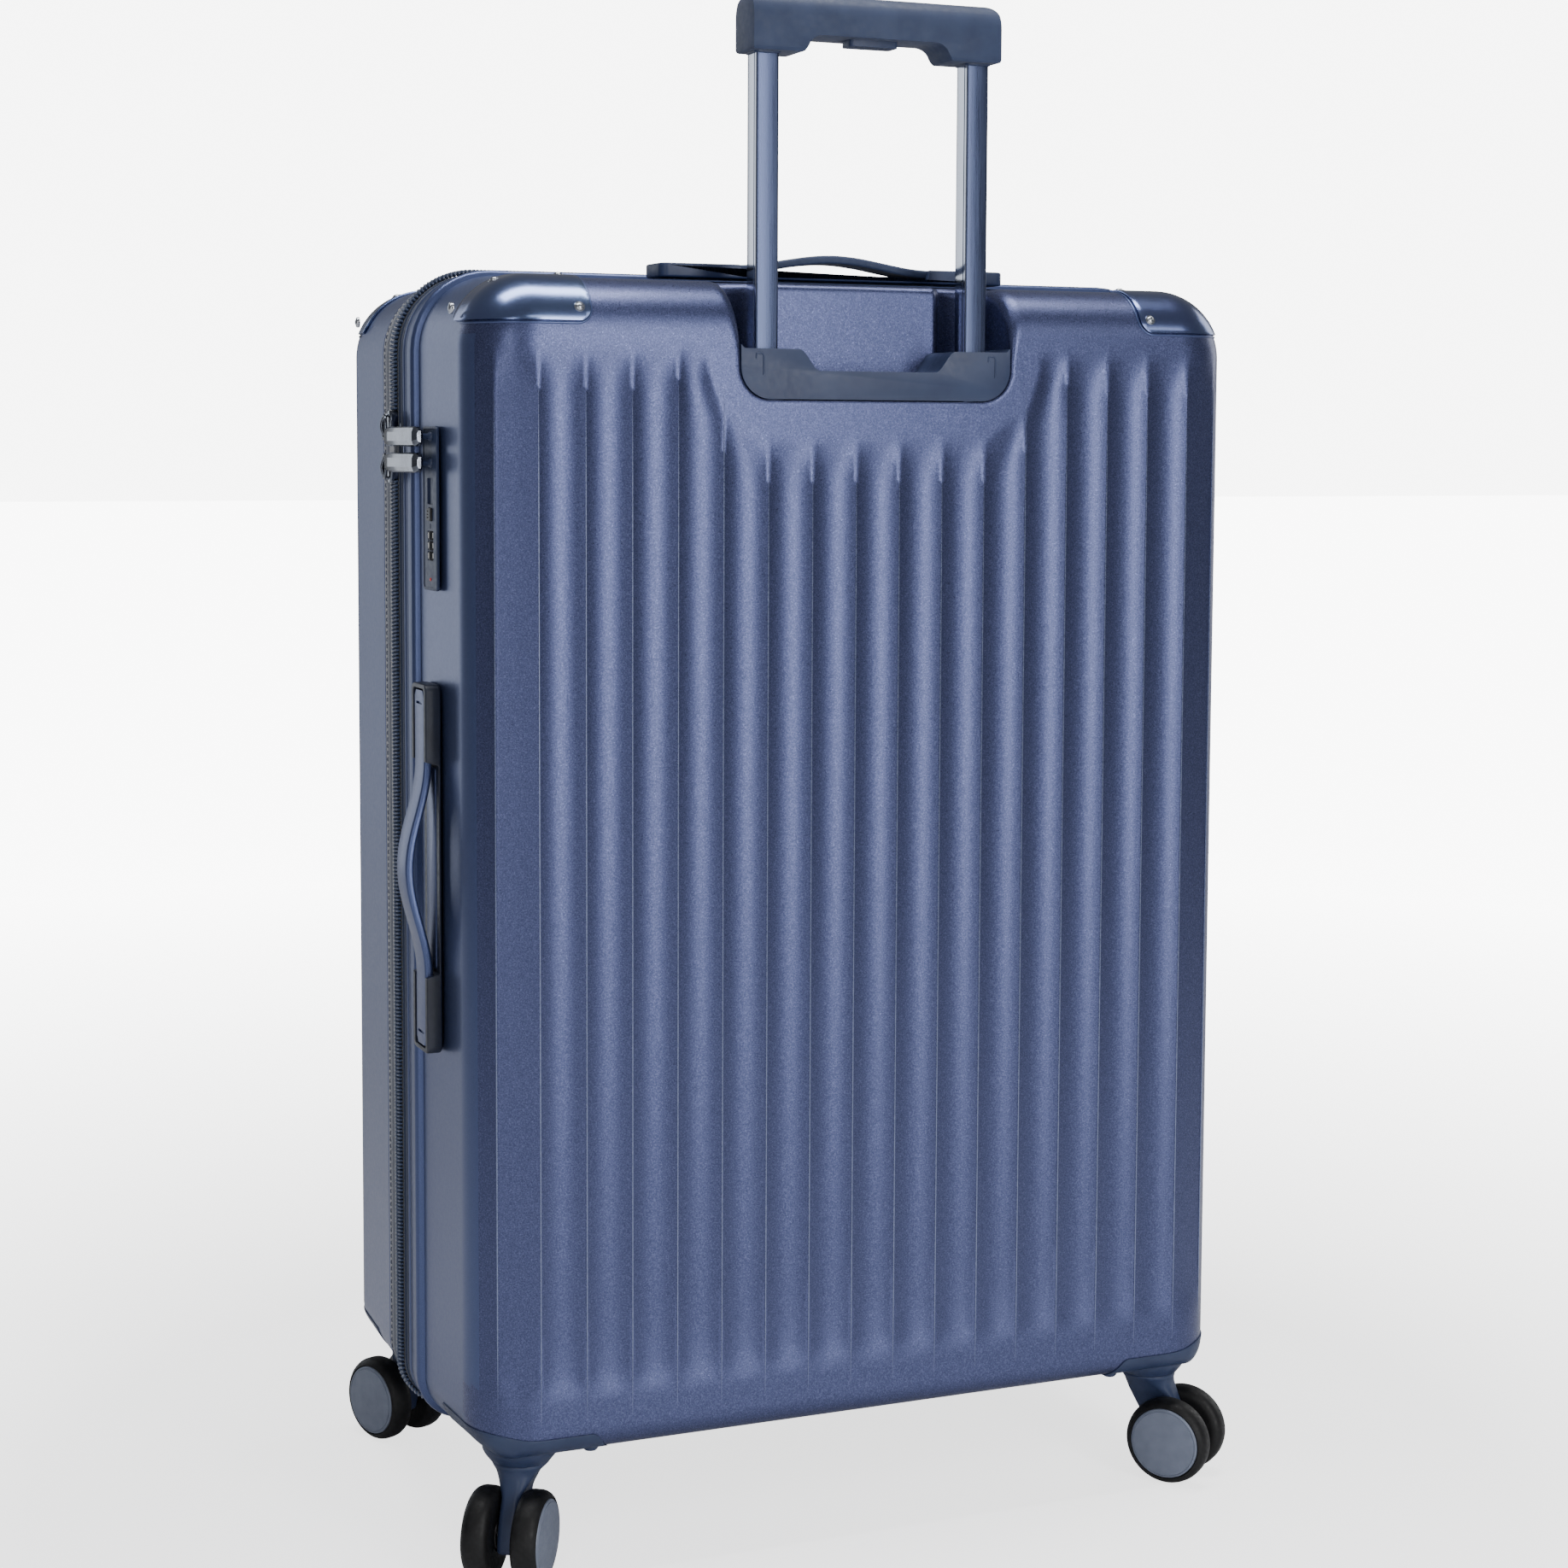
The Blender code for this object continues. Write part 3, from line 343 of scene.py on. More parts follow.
def make_looks():
    looks = {}

    shell = Look("shell_metallic_grain", (0.05, 0.06, 0.12), 0.34, 0.8, coat=0.12, coat_rough=0.25)
    grain = shell.noise(1250.0, 3.0, 0.7)
    shell.colour_by(grain, ((0.32, (0.042, 0.052, 0.122)), (0.52, (0.070, 0.083, 0.185)),
                            (0.72, (0.13, 0.15, 0.30))))
    shell.rough_by(shell.noise(900.0, 2.0), 0.26, 0.40)
    shell.bump(grain, 0.6, 0.00018)
    shell.bump(shell.noise(9.0, 2.0), 0.15, 0.0008)
    looks["shell"] = shell

    smooth_side = Look("shell_smooth_satin", (0.06, 0.09, 0.19), 0.34, 0.7, coat=0.2, coat_rough=0.2)
    fine = smooth_side.noise(2600.0, 2.0, 0.6)
    smooth_side.colour_by(fine, ((0.3, (0.056, 0.078, 0.185)), (0.7, (0.084, 0.113, 0.245))))
    smooth_side.rough_by(smooth_side.noise(400.0, 3.0), 0.33, 0.38)
    smooth_side.bump(fine, 0.25, 0.00006)
    looks["side"] = smooth_side

    # painted highlight: the crest beads are coloured far lighter than the shell, standing in for the light
    # the thin crest ridges catch
    crest = Look("crest_bead_painted_highlight", (0.30, 0.36, 0.55), 0.28, 0.9)
    crest.colour_by(crest.noise(400.0, 3.0), ((0.3, (0.19, 0.22, 0.37)), (0.7, (0.26, 0.30, 0.47))))
    crest.rough_by(crest.noise(1500.0, 2.0), 0.22, 0.36)
    looks["crest"] = crest

    guard = Look("guard_anodised", (0.15, 0.20, 0.38), 0.22, 1.0, coat=0.3, coat_rough=0.12)
    guard.colour_by(guard.noise(14.0, 2.0), ((0.35, (0.13, 0.16, 0.35)), (0.65, (0.16, 0.22, 0.40))))
    guard.rough_by(guard.noise(500.0, 3.0), 0.20, 0.24)
    guard.bump(guard.noise(2600.0, 2.0), 0.04, 0.00001)
    looks["guard"] = guard

    plastic = Look("plastic_navy_matte", (0.028, 0.042, 0.095), 0.42, 0.0, spec=0.35)
    tooth = plastic.noise(2200.0, 3.0, 0.6)
    plastic.colour_by(plastic.noise(45.0, 3.0),
                      ((0.3, (0.024, 0.036, 0.084)), (0.7, (0.034, 0.050, 0.108))))
    plastic.rough_by(plastic.noise(300.0, 3.0), 0.36, 0.48)
    plastic.bump(tooth, 0.3, 0.00006)
    looks["plastic"] = plastic

    block = Look("handle_block_dark", (0.012, 0.016, 0.030), 0.4, 0.0, spec=0.5)
    block.colour_by(block.noise(60.0, 3.0), ((0.3, (0.009, 0.012, 0.024)), (0.7, (0.017, 0.022, 0.040))))
    block.rough_by(block.noise(300.0, 3.0), 0.34, 0.46)
    block.bump(block.noise(2200.0, 3.0, 0.6), 0.3, 0.00006)
    looks["block"] = block

    soft = Look("handle_soft_touch", (0.028, 0.043, 0.095), 0.55, 0.0, spec=0.3, sheen=0.1)
    soft.colour_by(soft.noise(60.0, 3.0), ((0.3, (0.024, 0.037, 0.085)), (0.7, (0.034, 0.051, 0.110))))
    soft.rough_by(soft.noise(260.0, 3.0), 0.48, 0.62)
    soft.bump(soft.noise(3000.0, 2.0), 0.35, 0.00005)
    looks["soft"] = soft

    tube = Look("tube_anodised_navy", (0.055, 0.07, 0.13), 0.28, 0.9)
    brushed = tube.noise(900.0, 3.0, 0.6, stretch=(1.0, 1.0, 0.02))
    tube.colour_by(brushed, ((0.3, (0.046, 0.058, 0.110)), (0.7, (0.068, 0.085, 0.155))))
    tube.rough_by(brushed, 0.24, 0.34)
    tube.bump(brushed, 0.12, 0.00004)
    looks["tube"] = tube

    polished = Look("tube_polished_edge", (0.55, 0.58, 0.66), 0.10, 1.0)
    polished.rough_by(polished.noise(700.0, 3.0, stretch=(1.0, 1.0, 0.02)), 0.07, 0.16)
    polished.bump(polished.noise(1200.0, 2.0, stretch=(1.0, 1.0, 0.02)), 0.05, 0.00003)
    looks["polished"] = polished

    gunmetal = Look("gunmetal_polished", (0.20, 0.215, 0.25), 0.13, 1.0, coat=0.4, coat_rough=0.05)
    gunmetal.colour_by(gunmetal.noise(120.0, 3.0),
                       ((0.3, (0.085, 0.095, 0.12)), (0.7, (0.16, 0.175, 0.215))))
    gunmetal.rough_by(gunmetal.noise(900.0, 3.0), 0.10, 0.22)
    gunmetal.bump(gunmetal.noise(2500.0, 2.0), 0.08, 0.00003)
    looks["gunmetal"] = gunmetal

    rivet = Look("rivet_steel", (0.50, 0.52, 0.56), 0.16, 1.0)
    rivet.colour_by(rivet.noise(900.0, 3.0), ((0.3, (0.40, 0.42, 0.46)), (0.7, (0.60, 0.62, 0.66))))
    rivet.rough_by(rivet.noise(2000.0, 2.0), 0.12, 0.24)
    looks["rivet"] = rivet

    steel = Look("steel_pin", (0.55, 0.56, 0.58), 0.25, 1.0)
    steel.rough_by(steel.noise(700.0, 4.0), 0.2, 0.34)
    steel.colour_by(steel.noise(300.0, 3.0), ((0.3, (0.46, 0.47, 0.49)), (0.7, (0.62, 0.63, 0.65))))
    steel.bump(steel.noise(1500.0, 2.0), 0.1, 0.00004)
    looks["steel"] = steel

    tape = Look("zip_tape_woven", (0.03, 0.042, 0.085), 0.85, 0.0, spec=0.25, sheen=0.4)
    ribs = tape.math("ADD", tape.wave(380.0, "Z"), tape.wave(380.0, "X"))
    rows = tape.math("MULTIPLY", tape.math("ADD", ribs, tape.wave(520.0, "Y")), 0.34)
    tape.colour_by(rows, ((0.2, (0.014, 0.021, 0.045)), (0.8, (0.05, 0.068, 0.125))))
    tape.bump(rows, 0.6, 0.0002)
    looks["tape"] = tape

    chain = Look("zip_chain_nylon", (0.055, 0.08, 0.15), 0.38, 0.0, spec=0.6)
    chain.colour_by(chain.noise(700.0, 3.0), ((0.3, (0.045, 0.066, 0.13)), (0.7, (0.085, 0.115, 0.20))))
    chain.rough_by(chain.noise(900.0, 2.0), 0.32, 0.46)
    chain.bump(chain.noise(3000.0, 2.0), 0.2, 0.00005)
    looks["chain"] = chain

    rubber = Look("tyre_rubber", (0.005, 0.005, 0.006), 0.45, 0.0, spec=0.3)
    rubber.colour_by(rubber.noise(250.0, 4.0),
                     ((0.3, (0.0035, 0.0035, 0.004)), (0.7, (0.008, 0.008, 0.009))))
    rubber.rough_by(rubber.noise(400.0, 4.0), 0.42, 0.62)
    rubber.bump(rubber.noise(1800.0, 3.0), 0.3, 0.00007)
    looks["rubber"] = rubber

    cap = Look("wheel_cap_satin", (0.17, 0.195, 0.26), 0.42, 0.2, spec=0.5)
    cap.colour_by(cap.noise(130.0, 3.0), ((0.3, (0.155, 0.178, 0.240)), (0.7, (0.185, 0.212, 0.285))))
    cap.rough_by(cap.noise(500.0, 3.0), 0.36, 0.48)
    cap.bump(cap.noise(2400.0, 2.0), 0.2, 0.00004)
    looks["cap"] = cap

    dial = Look("dial_black", (0.014, 0.014, 0.016), 0.35, 0.0)
    dial.rough_by(dial.noise(1500.0, 3.0), 0.28, 0.44)
    dial.colour_by(dial.noise(900.0, 3.0), ((0.3, (0.010, 0.010, 0.012)), (0.7, (0.022, 0.022, 0.025))))
    looks["dial"] = dial

    digit = Look("digit_paint", (0.85, 0.85, 0.82), 0.5, 0.0)
    digit.colour_by(digit.noise(3000.0, 2.0), ((0.3, (0.78, 0.78, 0.75)), (0.7, (0.9, 0.9, 0.88))))
    looks["digit"] = digit

    red = Look("indicator_red", (0.7, 0.04, 0.03), 0.3, 0.0)
    red.colour_by(red.noise(3000.0, 2.0), ((0.3, (0.6, 0.03, 0.025)), (0.7, (0.8, 0.07, 0.05))))
    looks["red"] = red

    lining = Look("lining_twill", (0.09, 0.10, 0.13), 0.8, 0.0, spec=0.3, sheen=0.35)
    warp = lining.wave(330.0, "DIAGONAL")
    weft = lining.wave(480.0, "X", 0.4)
    weave = lining.math("MULTIPLY", lining.math("ADD", warp, weft), 0.5)
    lining.colour_by(weave, ((0.15, (0.060, 0.068, 0.092)), (0.85, (0.125, 0.138, 0.175))))
    lining.rough_by(lining.noise(80.0, 3.0), 0.72, 0.86)
    lining.bump(weave, 0.35, 0.00025)
    lining.bump(lining.noise(35.0, 3.0, 0.55), 0.3, 0.002)
    looks["lining"] = lining

    webbing = Look("webbing_ribbed", (0.02, 0.028, 0.05), 0.75, 0.0, spec=0.3, sheen=0.3)
    herring = webbing.math("MULTIPLY",
                           webbing.math("ADD", webbing.wave(260.0, "X"), webbing.wave(420.0, "Z", 0.3)),
                           0.5)
    webbing.colour_by(herring, ((0.15, (0.012, 0.017, 0.032)), (0.85, (0.038, 0.050, 0.085))))
    webbing.bump(herring, 0.5, 0.0003)
    looks["webbing"] = webbing

    thread = Look("stitch_thread", (0.09, 0.11, 0.17), 0.7, 0.0, sheen=0.3)
    thread.colour_by(thread.noise(1500.0, 2.0), ((0.3, (0.07, 0.085, 0.14)), (0.7, (0.12, 0.14, 0.21))))
    thread.bump(thread.wave(1800.0, "DIAGONAL"), 0.4, 0.0001)
    looks["thread"] = thread

    floor = Look("floor_pale", (0.86, 0.86, 0.87), 0.6, 0.0, spec=0.3)
    floor.colour_by(floor.noise(3.0, 3.0), ((0.3, (0.845, 0.845, 0.855)), (0.7, (0.875, 0.875, 0.885))))
    # painted glow: camera-seen emission, faint near the case and growing with distance from it, makes the
    # floor whiter farther off; it lights nothing else
    floor.set("Emission Color", (1.0, 1.0, 1.0, 1.0))
    seen = floor.node("ShaderNodeLightPath").outputs["Is Camera Ray"]
    reach = floor.node("ShaderNodeVectorMath", operation="LENGTH")
    floor.link(floor.coords, reach.inputs[0])
    glow = floor.ramp(floor.math("MULTIPLY", reach.outputs["Value"], 0.25), ((0.12, 0.22), (0.62, 1.0)))
    floor.link(floor.math("MULTIPLY", seen, floor.math("MULTIPLY", glow, 9.0)),
               floor.shader.inputs["Emission Strength"])
    looks["floor"] = floor
    return looks


LOOKS = make_looks()


def look(name):
    return LOOKS[name].mat


def coat(obj, name):
    """One look on all slots, so also on the faces that carving made."""
    for slot in range(len(obj.data.materials)):
        obj.data.materials[slot] = look(name)


# ---- the body's surface ---------------------------------------------------------------------
BEAD_R, BEAD_LOW, BEAD_TOP, BEAD_TOP_SHORT = 0.00046, 0.1200, 0.7080, 0.6640
BEAD_SIDES, BEAD_ROWS = 8, 40
CRESTS = np.array([PITCH * (k + 0.5) for k in range(8)] + [FLAT_X + EDGE_R * math.radians(39.0),
                                                          FLAT_X + EDGE_R * math.radians(59.0)])
CELL_DEPTH = np.array([0.0025] * 8 + [0.0021, 0.0008, 0.0])
ARC_END = FLAT_X + EDGE_R * math.pi / 2


def flute_depth(s, z, short):
    """Depth of the flutes at arc coordinate s across the face and height z."""
    a = np.abs(s)
    cell = np.searchsorted(CRESTS, a - 1e-9)
    low = np.concatenate([[-CRESTS[0]], CRESTS])[cell]
    high = np.concatenate([CRESTS, [ARC_END + 1.0]])[cell]
    top = np.full(a.shape, 0.7320)
    if short:
        top = np.where(cell <= 2, 0.6790, top)
        top = np.where(cell == 3, 0.6790 + 0.0150 * smooth((a - CRESTS[2]) / PITCH), top)
        low = np.where(cell == 4, low + 0.0100 * smooth((z - 0.6800) / 0.0400), low)
    middle, half = (low + high) / 2, (high - low) / 2
    t = np.clip((a - middle) / half, -1.0, 1.0)
    up = np.clip((z - (top - 0.032)) / 0.032, 0.0, 1.0)
    down = np.clip((0.1080 + 0.030 - z) / 0.030, 0.0, 1.0)
    fade = (1 - up ** 2) ** 1.6 * (1 - down ** 2) ** 1.6
    return CELL_DEPTH[cell] * (1 - np.abs(t) ** 2.1) * fade


def plan_place(gx, gz):
    """Grid coordinates to the outline plane: place, inset from the outline and outward direction."""
    ax, az = np.abs(gx), np.abs(gz - MID_Z)
    sx = np.where(gx < 0, -1.0, 1.0)
    sz = np.where(gz < MID_Z, -1.0, 1.0)
    radius = np.where(gz < MID_Z, FOOT_CORNER_R, CORNER_R)
    p = (ax - (HALF_W - radius)) / radius
    q = (az - (HALF_H - radius)) / radius
    corner = (p > 1e-9) & (q > 1e-9)
    rho = np.maximum(p, q)
    big = np.maximum(rho, 1e-9)
    angle = np.where(p >= q, (math.pi / 4) * q / big, math.pi / 2 - (math.pi / 4) * p / big)
    x = np.where(corner, HALF_W - radius + radius * rho * np.cos(angle), ax)
    z = np.where(corner, HALF_H - radius + radius * rho * np.sin(angle), az)
    inset = np.where(corner, radius * (1 - rho), np.minimum(HALF_W - ax, HALF_H - az))
    nx = np.where(corner, np.cos(angle), (HALF_W - ax <= HALF_H - az).astype(float))
    nz = np.where(corner, np.sin(angle), (HALF_H - az < HALF_W - ax).astype(float))
    return x * sx, z * sz + MID_Z, inset, nx * sx, nz * sz


def column_values(fine=12):
    """Arc coordinates of the grid columns, with one on each crest."""
    stops = [0.0] + list(CRESTS) + [ARC_END]
    counts = [fine // 2] + [fine] * 7 + [fine] + [8, 8]
    half = []
    for low, high, count in zip(stops, stops[1:], counts):
        half += [low + (high - low) * i / count for i in range(count)]
    half.append(ARC_END)
    half = np.array(half)
    return np.concatenate([-half[:0:-1], half])


def arc_to_x(s):
    bent = np.clip((np.abs(s) - FLAT_X) / EDGE_R, 0.0, math.pi / 2)
    return np.sign(s) * np.where(np.abs(s) <= FLAT_X, np.abs(s), FLAT_X + EDGE_R * np.sin(bent))


def row_values(dense=0.003):
    steps = np.linspace(0.0, math.pi / 2, 13)
    bottom = LOW_Z + EDGE_R - EDGE_R * np.sin(steps[::-1])
    top = HIGH_Z - EDGE_R + EDGE_R * np.sin(steps)
    ends = np.arange(bottom[-1] + dense, 0.144, dense)
    middle = np.linspace(0.150, 0.636, 26)
    upper = np.arange(0.640, top[0] - 0.001, dense)
    return np.concatenate([bottom, ends, middle, upper, top])


def foot_drop(depth):
    """How much lower the tight bottom rounding lies than the wide one, at a depth behind the face."""
    wide = EDGE_R - np.sqrt(np.maximum(EDGE_R ** 2 - (EDGE_R - depth) ** 2, 0.0))
    tight = FOOT_R - np.sqrt(np.maximum(FOOT_R ** 2 - (FOOT_R - np.minimum(depth, FOOT_R)) ** 2, 0.0))
    return wide - tight


def skin_points(gx, gz, side, face_y, offset=0.0, depth=None):
    """Points of the rounded body surface at grid coordinates."""
    x, z, inset, nx, nz = plan_place(gx, gz)
    flat = np.clip(inset, 0.0, EDGE_R)
    outward = 1 - flat / EDGE_R
    forward = np.sqrt(np.clip(1 - outward ** 2, 0.0, 1.0))
    y = face_y - side * EDGE_R * (1 - forward)
    z = z - foot_drop(EDGE_R * (1 - forward)) * (1 - smooth((z - 0.150) / 0.160))
    push = offset - (depth if depth is not None else 0.0)
    points = [x + nx * outward * push, y + side * forward * push, z + nz * outward * push]
    return np.stack(points, -1), nx, nz


def skin_mesh(side, face_y, rim_y, fluted=True, short=False, offset=0.0):
    """Closed shell body: fluted face, rounded edges, drafted sides and an inner lip."""
    s = column_values()
    rows = row_values()
    grid_s, grid_z = np.meshgrid(s, rows)
    grid_x = arc_to_x(grid_s)
    depth = None
    if fluted:
        plain, _, _ = skin_points(grid_x, grid_z, side, face_y)
        depth = flute_depth(grid_s, plain[..., 2], short)
    points, nx, nz = skin_points(grid_x, grid_z, side, face_y, offset, depth)
    bm = bmesh.new()
    verts = [[bm.verts.new(p) for p in line] for line in points.tolist()]
    for a, b in zip(verts, verts[1:]):
        bridge(bm, a, b, closed=False)
    loop = grid_border(len(rows), len(s))
    ring = [verts[i][j] for i, j in loop]
    base = np.array([points[i, j] for i, j in loop])
    out = np.array([(nx[i, j], nz[i, j]) for i, j in loop])
    start = face_y - side * EDGE_R
    span = rim_y - start
    steps = [(DRAFT * f, start + span * f) for f in (0.2, 0.4, 0.6, 0.8, 0.97)]
    steps += [(DRAFT, rim_y + side * 0.0008), (DRAFT - 0.0003, rim_y + side * 0.0002),
              (DRAFT - 0.0009, rim_y),
              (DRAFT - 0.0025, rim_y), (DRAFT - 0.0026, rim_y + side * 0.022)]
    for grow, y in steps:
        place = base.copy()
        place[:, 0] += out[:, 0] * grow
        place[:, 1] = y
        place[:, 2] += out[:, 1] * grow
        fresh = [bm.verts.new(p) for p in place.tolist()]
        bridge(bm, ring, fresh)
        ring = fresh
    cap = bm.faces.new(ring)
    cap.material_index = 2
    bmesh.ops.recalc_face_normals(bm, faces=bm.faces[:])
    return bm


GRAIN_LOW, GRAIN_HIGH = 0.118, 0.735


def face_slots(obj):
    """Grained finish on the face and its rounded edges, satin on the sides."""
    limit = arc_to_x(np.array([CRESTS[-1]]))[0]
    for poly in obj.data.polygons:
        if poly.material_index == 0 and (abs(poly.center.x) > limit
                                         and GRAIN_LOW < poly.center.z < GRAIN_HIGH
                                         or abs(poly.normal.y) < 0.10):
            poly.material_index = 3


def drop_faces(obj, slots):
    bm = bmesh.new()
    bm.from_mesh(obj.data)
    gone = [f for f in bm.faces if f.material_index in slots]
    bmesh.ops.delete(bm, geom=gone, context="FACES")
    bm.to_mesh(obj.data)
    bm.free()


# ---- trolley recess -------------------------------------------------------------------------
RECESS_X, RECESS_Z, RECESS_BEND = 0.0892, 0.6994, 0.0195
ARC_Y, ARC_Z = BACK_Y - EDGE_R, HIGH_Z - EDGE_R


def recess_wall_y(x):
    """Back wall of the recess: a raised pad between deeper channels for the tubes."""
    a = np.abs(x)
    return 0.1098 + 0.0050 * (1 - smooth((a - 0.0530) / 0.0060))


def shoulder(z):
    return 0.0020 + 0.0065 * smooth((z - 0.7200) / 0.0400)


def recess_path():
    """Right half of the recess edge, from the bottom middle to the top.

    Each row has the point, the way along the surface, the way inward, the edge radius and the depth.
    """
    path = []
    for x in np.linspace(0.0, RECESS_X - RECESS_BEND, 12):
        path.append(((x, BACK_Y, RECESS_Z), (0, 0, -1), (0, -1, 0), 0.0020, 0.0370))
    cx, cz = RECESS_X - RECESS_BEND, RECESS_Z + RECESS_BEND
    for angle in np.radians(np.linspace(0, 90, 11))[1:]:
        way = (math.sin(angle), 0, -math.cos(angle))
        path.append(((cx + RECESS_BEND * way[0], BACK_Y, cz + RECESS_BEND * way[2]), way, (0, -1, 0),
                     0.0020, 0.0370))
    for z in np.linspace(cz, ARC_Z, 7)[1:]:
        path.append(((RECESS_X, BACK_Y, z), (1, 0, 0), (0, -1, 0), shoulder(z), 0.0370))
    for angle in np.radians(np.linspace(0, 90, 19))[1:]:
        up, out = math.sin(angle), math.cos(angle)
        place = (RECESS_X, ARC_Y + EDGE_R * out, ARC_Z + EDGE_R * up)
        path.append((place, (1, 0, 0), (0, -out, -up), shoulder(place[2]), 0.0370))
    for x in np.concatenate([[RECESS_X], np.linspace(0.084, 0.0620, 6), np.linspace(0.0600, 0.0520, 9),
                             [0.04, 0.02, 0.0]]):
        way = (1, -1, 0) if x == RECESS_X else (0, -1, 0)
        radius = 0.0060 + 0.0025 * smooth((x - 0.060) / 0.029)
        path.append(((x, recess_wall_y(x), HIGH_Z), way, (0, 0, -1), float(radius),
                     HIGH_Z - RECESS_Z + 0.001))
    return path


def mirrored_path():
    half = recess_path()
    other = [((-p[0], p[1], p[2]), (-a[0], a[1], a[2]), b, r, d) for p, a, b, r, d in reversed(half[1:-1])]
    return half + other


def recess_cutter():
    """Solid that takes the recess and the room for its rounded edge out of the back shell."""
    lower = [(p[0] + a[0] * r, p[2] + a[2] * r) for p, a, b, r, _ in recess_path()
             if b == (0, -1, 0) or a == (1, 0, 0)]
    columns = []
    for x, z in lower:
        if not columns or x > columns[-1][0] + 1e-6:
            columns.append((x, z))
    extra = [x for x in np.linspace(0.0520, 0.0620, 8)]
    xs = sorted(set([x for x, _ in columns] + extra))
    rings = []
    known_x = [x for x, _ in columns]
    known_z = [z for _, z in columns]
    for x in [-v for v in reversed(xs[1:])] + xs:
        a = abs(x)
        low = float(np.interp(a, known_x, known_z))
        radius = 0.0060 + 0.0025 * float(smooth((min(a, RECESS_X) - 0.060) / 0.029))
        back = float(recess_wall_y(min(a, RECESS_X))) - radius
        rings.append([(x, back, low), (x, 0.17, low), (x, 0.17, 0.80), (x, back, 0.80)])
    return loft(rings)


def recess_liner():
    """Rounded edge and walls of the recess as one strip that runs right round it."""
    bm = bmesh.new()
    rings = []
    for p, a, b, r, d in mirrored_path():
        base, way, inward = np.array(p), np.array(a, float), np.array(b, float)
        ring = [base + way * (r + 0.0012) - inward * 0.00004]
        for angle in np.radians(np.linspace(0, 90, 7)):
            ring.append(base + way * r * (1 - math.sin(angle)) + inward * r * (1 - math.cos(angle)))
        for depth in np.linspace(r, d, 5)[1:]:
            ring.append(base + inward * depth)
        rings.append([bm.verts.new(v.tolist()) for v in ring])
    for a, b in zip(rings, rings[1:] + rings[:1]):
        bridge(bm, a, b, closed=False)
    bmesh.ops.recalc_face_normals(bm, faces=bm.faces[:])
    return bm


def crest_beads(side, face_y, short):
    """Thin raised lines that run down the crests between the flutes, tapered at both ends."""
    bm = bmesh.new()
    turns = np.linspace(0.0, 2 * math.pi, BEAD_SIDES, endpoint=False)
    for index, crest in enumerate(CRESTS[:9]):
        top = BEAD_TOP_SHORT if short and index < 3 else BEAD_TOP
        z = np.linspace(BEAD_LOW, top, BEAD_ROWS)
        taper = np.clip(np.minimum((z - BEAD_LOW) / 0.050, (top - z) / 0.070), 0.04, 1.0) ** 0.7
        for sx in (-1.0, 1.0):
            x = np.full(z.shape, float(sx * arc_to_x(crest)))
            centre = skin_points(x, z, side, face_y)[0]
            proud = skin_points(x, z, side, face_y, 0.001)[0] - centre
            normal = proud / np.linalg.norm(proud, axis=1, keepdims=True)
            across = np.cross(normal, (0.0, 0.0, 1.0))
            rings = []
            for place, out, way, size in zip(centre, normal, across, BEAD_R * taper):
                rings.append([bm.verts.new(place + size * (math.cos(a) * way + math.sin(a) * out))
                              for a in turns])
            for a, b in zip(rings, rings[1:]):
                bridge(bm, a, b)
            bm.faces.new(rings[0])
            bm.faces.new(rings[-1])
    bmesh.ops.recalc_face_normals(bm, faces=bm.faces[:])
    return bm


def build_crest_beads():
    for name, body, side, face_y in (("crest_beads_back", "case", 1, BACK_Y),
                                     ("crest_beads_front", "lid", -1, FRONT_Y)):
        # the beads' lighter colour is a painted highlight along the crest lines
        beads = new_piece(name, crest_beads(side, face_y, side > 0), look("crest"))
        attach(beads, body)


def build_shells():
    back = new_piece("shell_back", skin_mesh(1, BACK_Y, BACK_RIM, short=True), look("shell"))
    for name in ("shell", "shell", "side"):
        back.data.materials.append(look(name))
    carve(back, recess_cutter())
    drop_faces(back, (1, 2))
    face_slots(back)
    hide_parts("back_shell")
    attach(back, "case")
    liner = new_piece("recess_liner", recess_liner(), look("shell"))
    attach(liner, "case")

    front = new_piece("shell_front", skin_mesh(-1, FRONT_Y, FRONT_RIM), look("shell"))
    for name in ("shell", "shell", "side"):
        front.data.materials.append(look(name))
    drop_faces(front, (2,))
    face_slots(front)
    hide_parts("front_shell")
    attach(front, "lid")



# ---- corner guards and rivets ---------------------------------------------------------------
GUARD_X, GUARD_Z, GUARD_DEPTH = 0.1812, 0.7432, 0.050


def level_row(gx, height):
    """Grid heights whose place in the outline plane is at one height, found by halving."""
    low, high = np.full(np.shape(gx), ARC_Z), np.full(np.shape(gx), HIGH_Z)
    for _ in range(40):
        middle = (low + high) / 2
        above = plan_place(gx, middle)[1] > height
        low, high = np.where(above, low, middle), np.where(above, middle, high)
    return (low + high) / 2


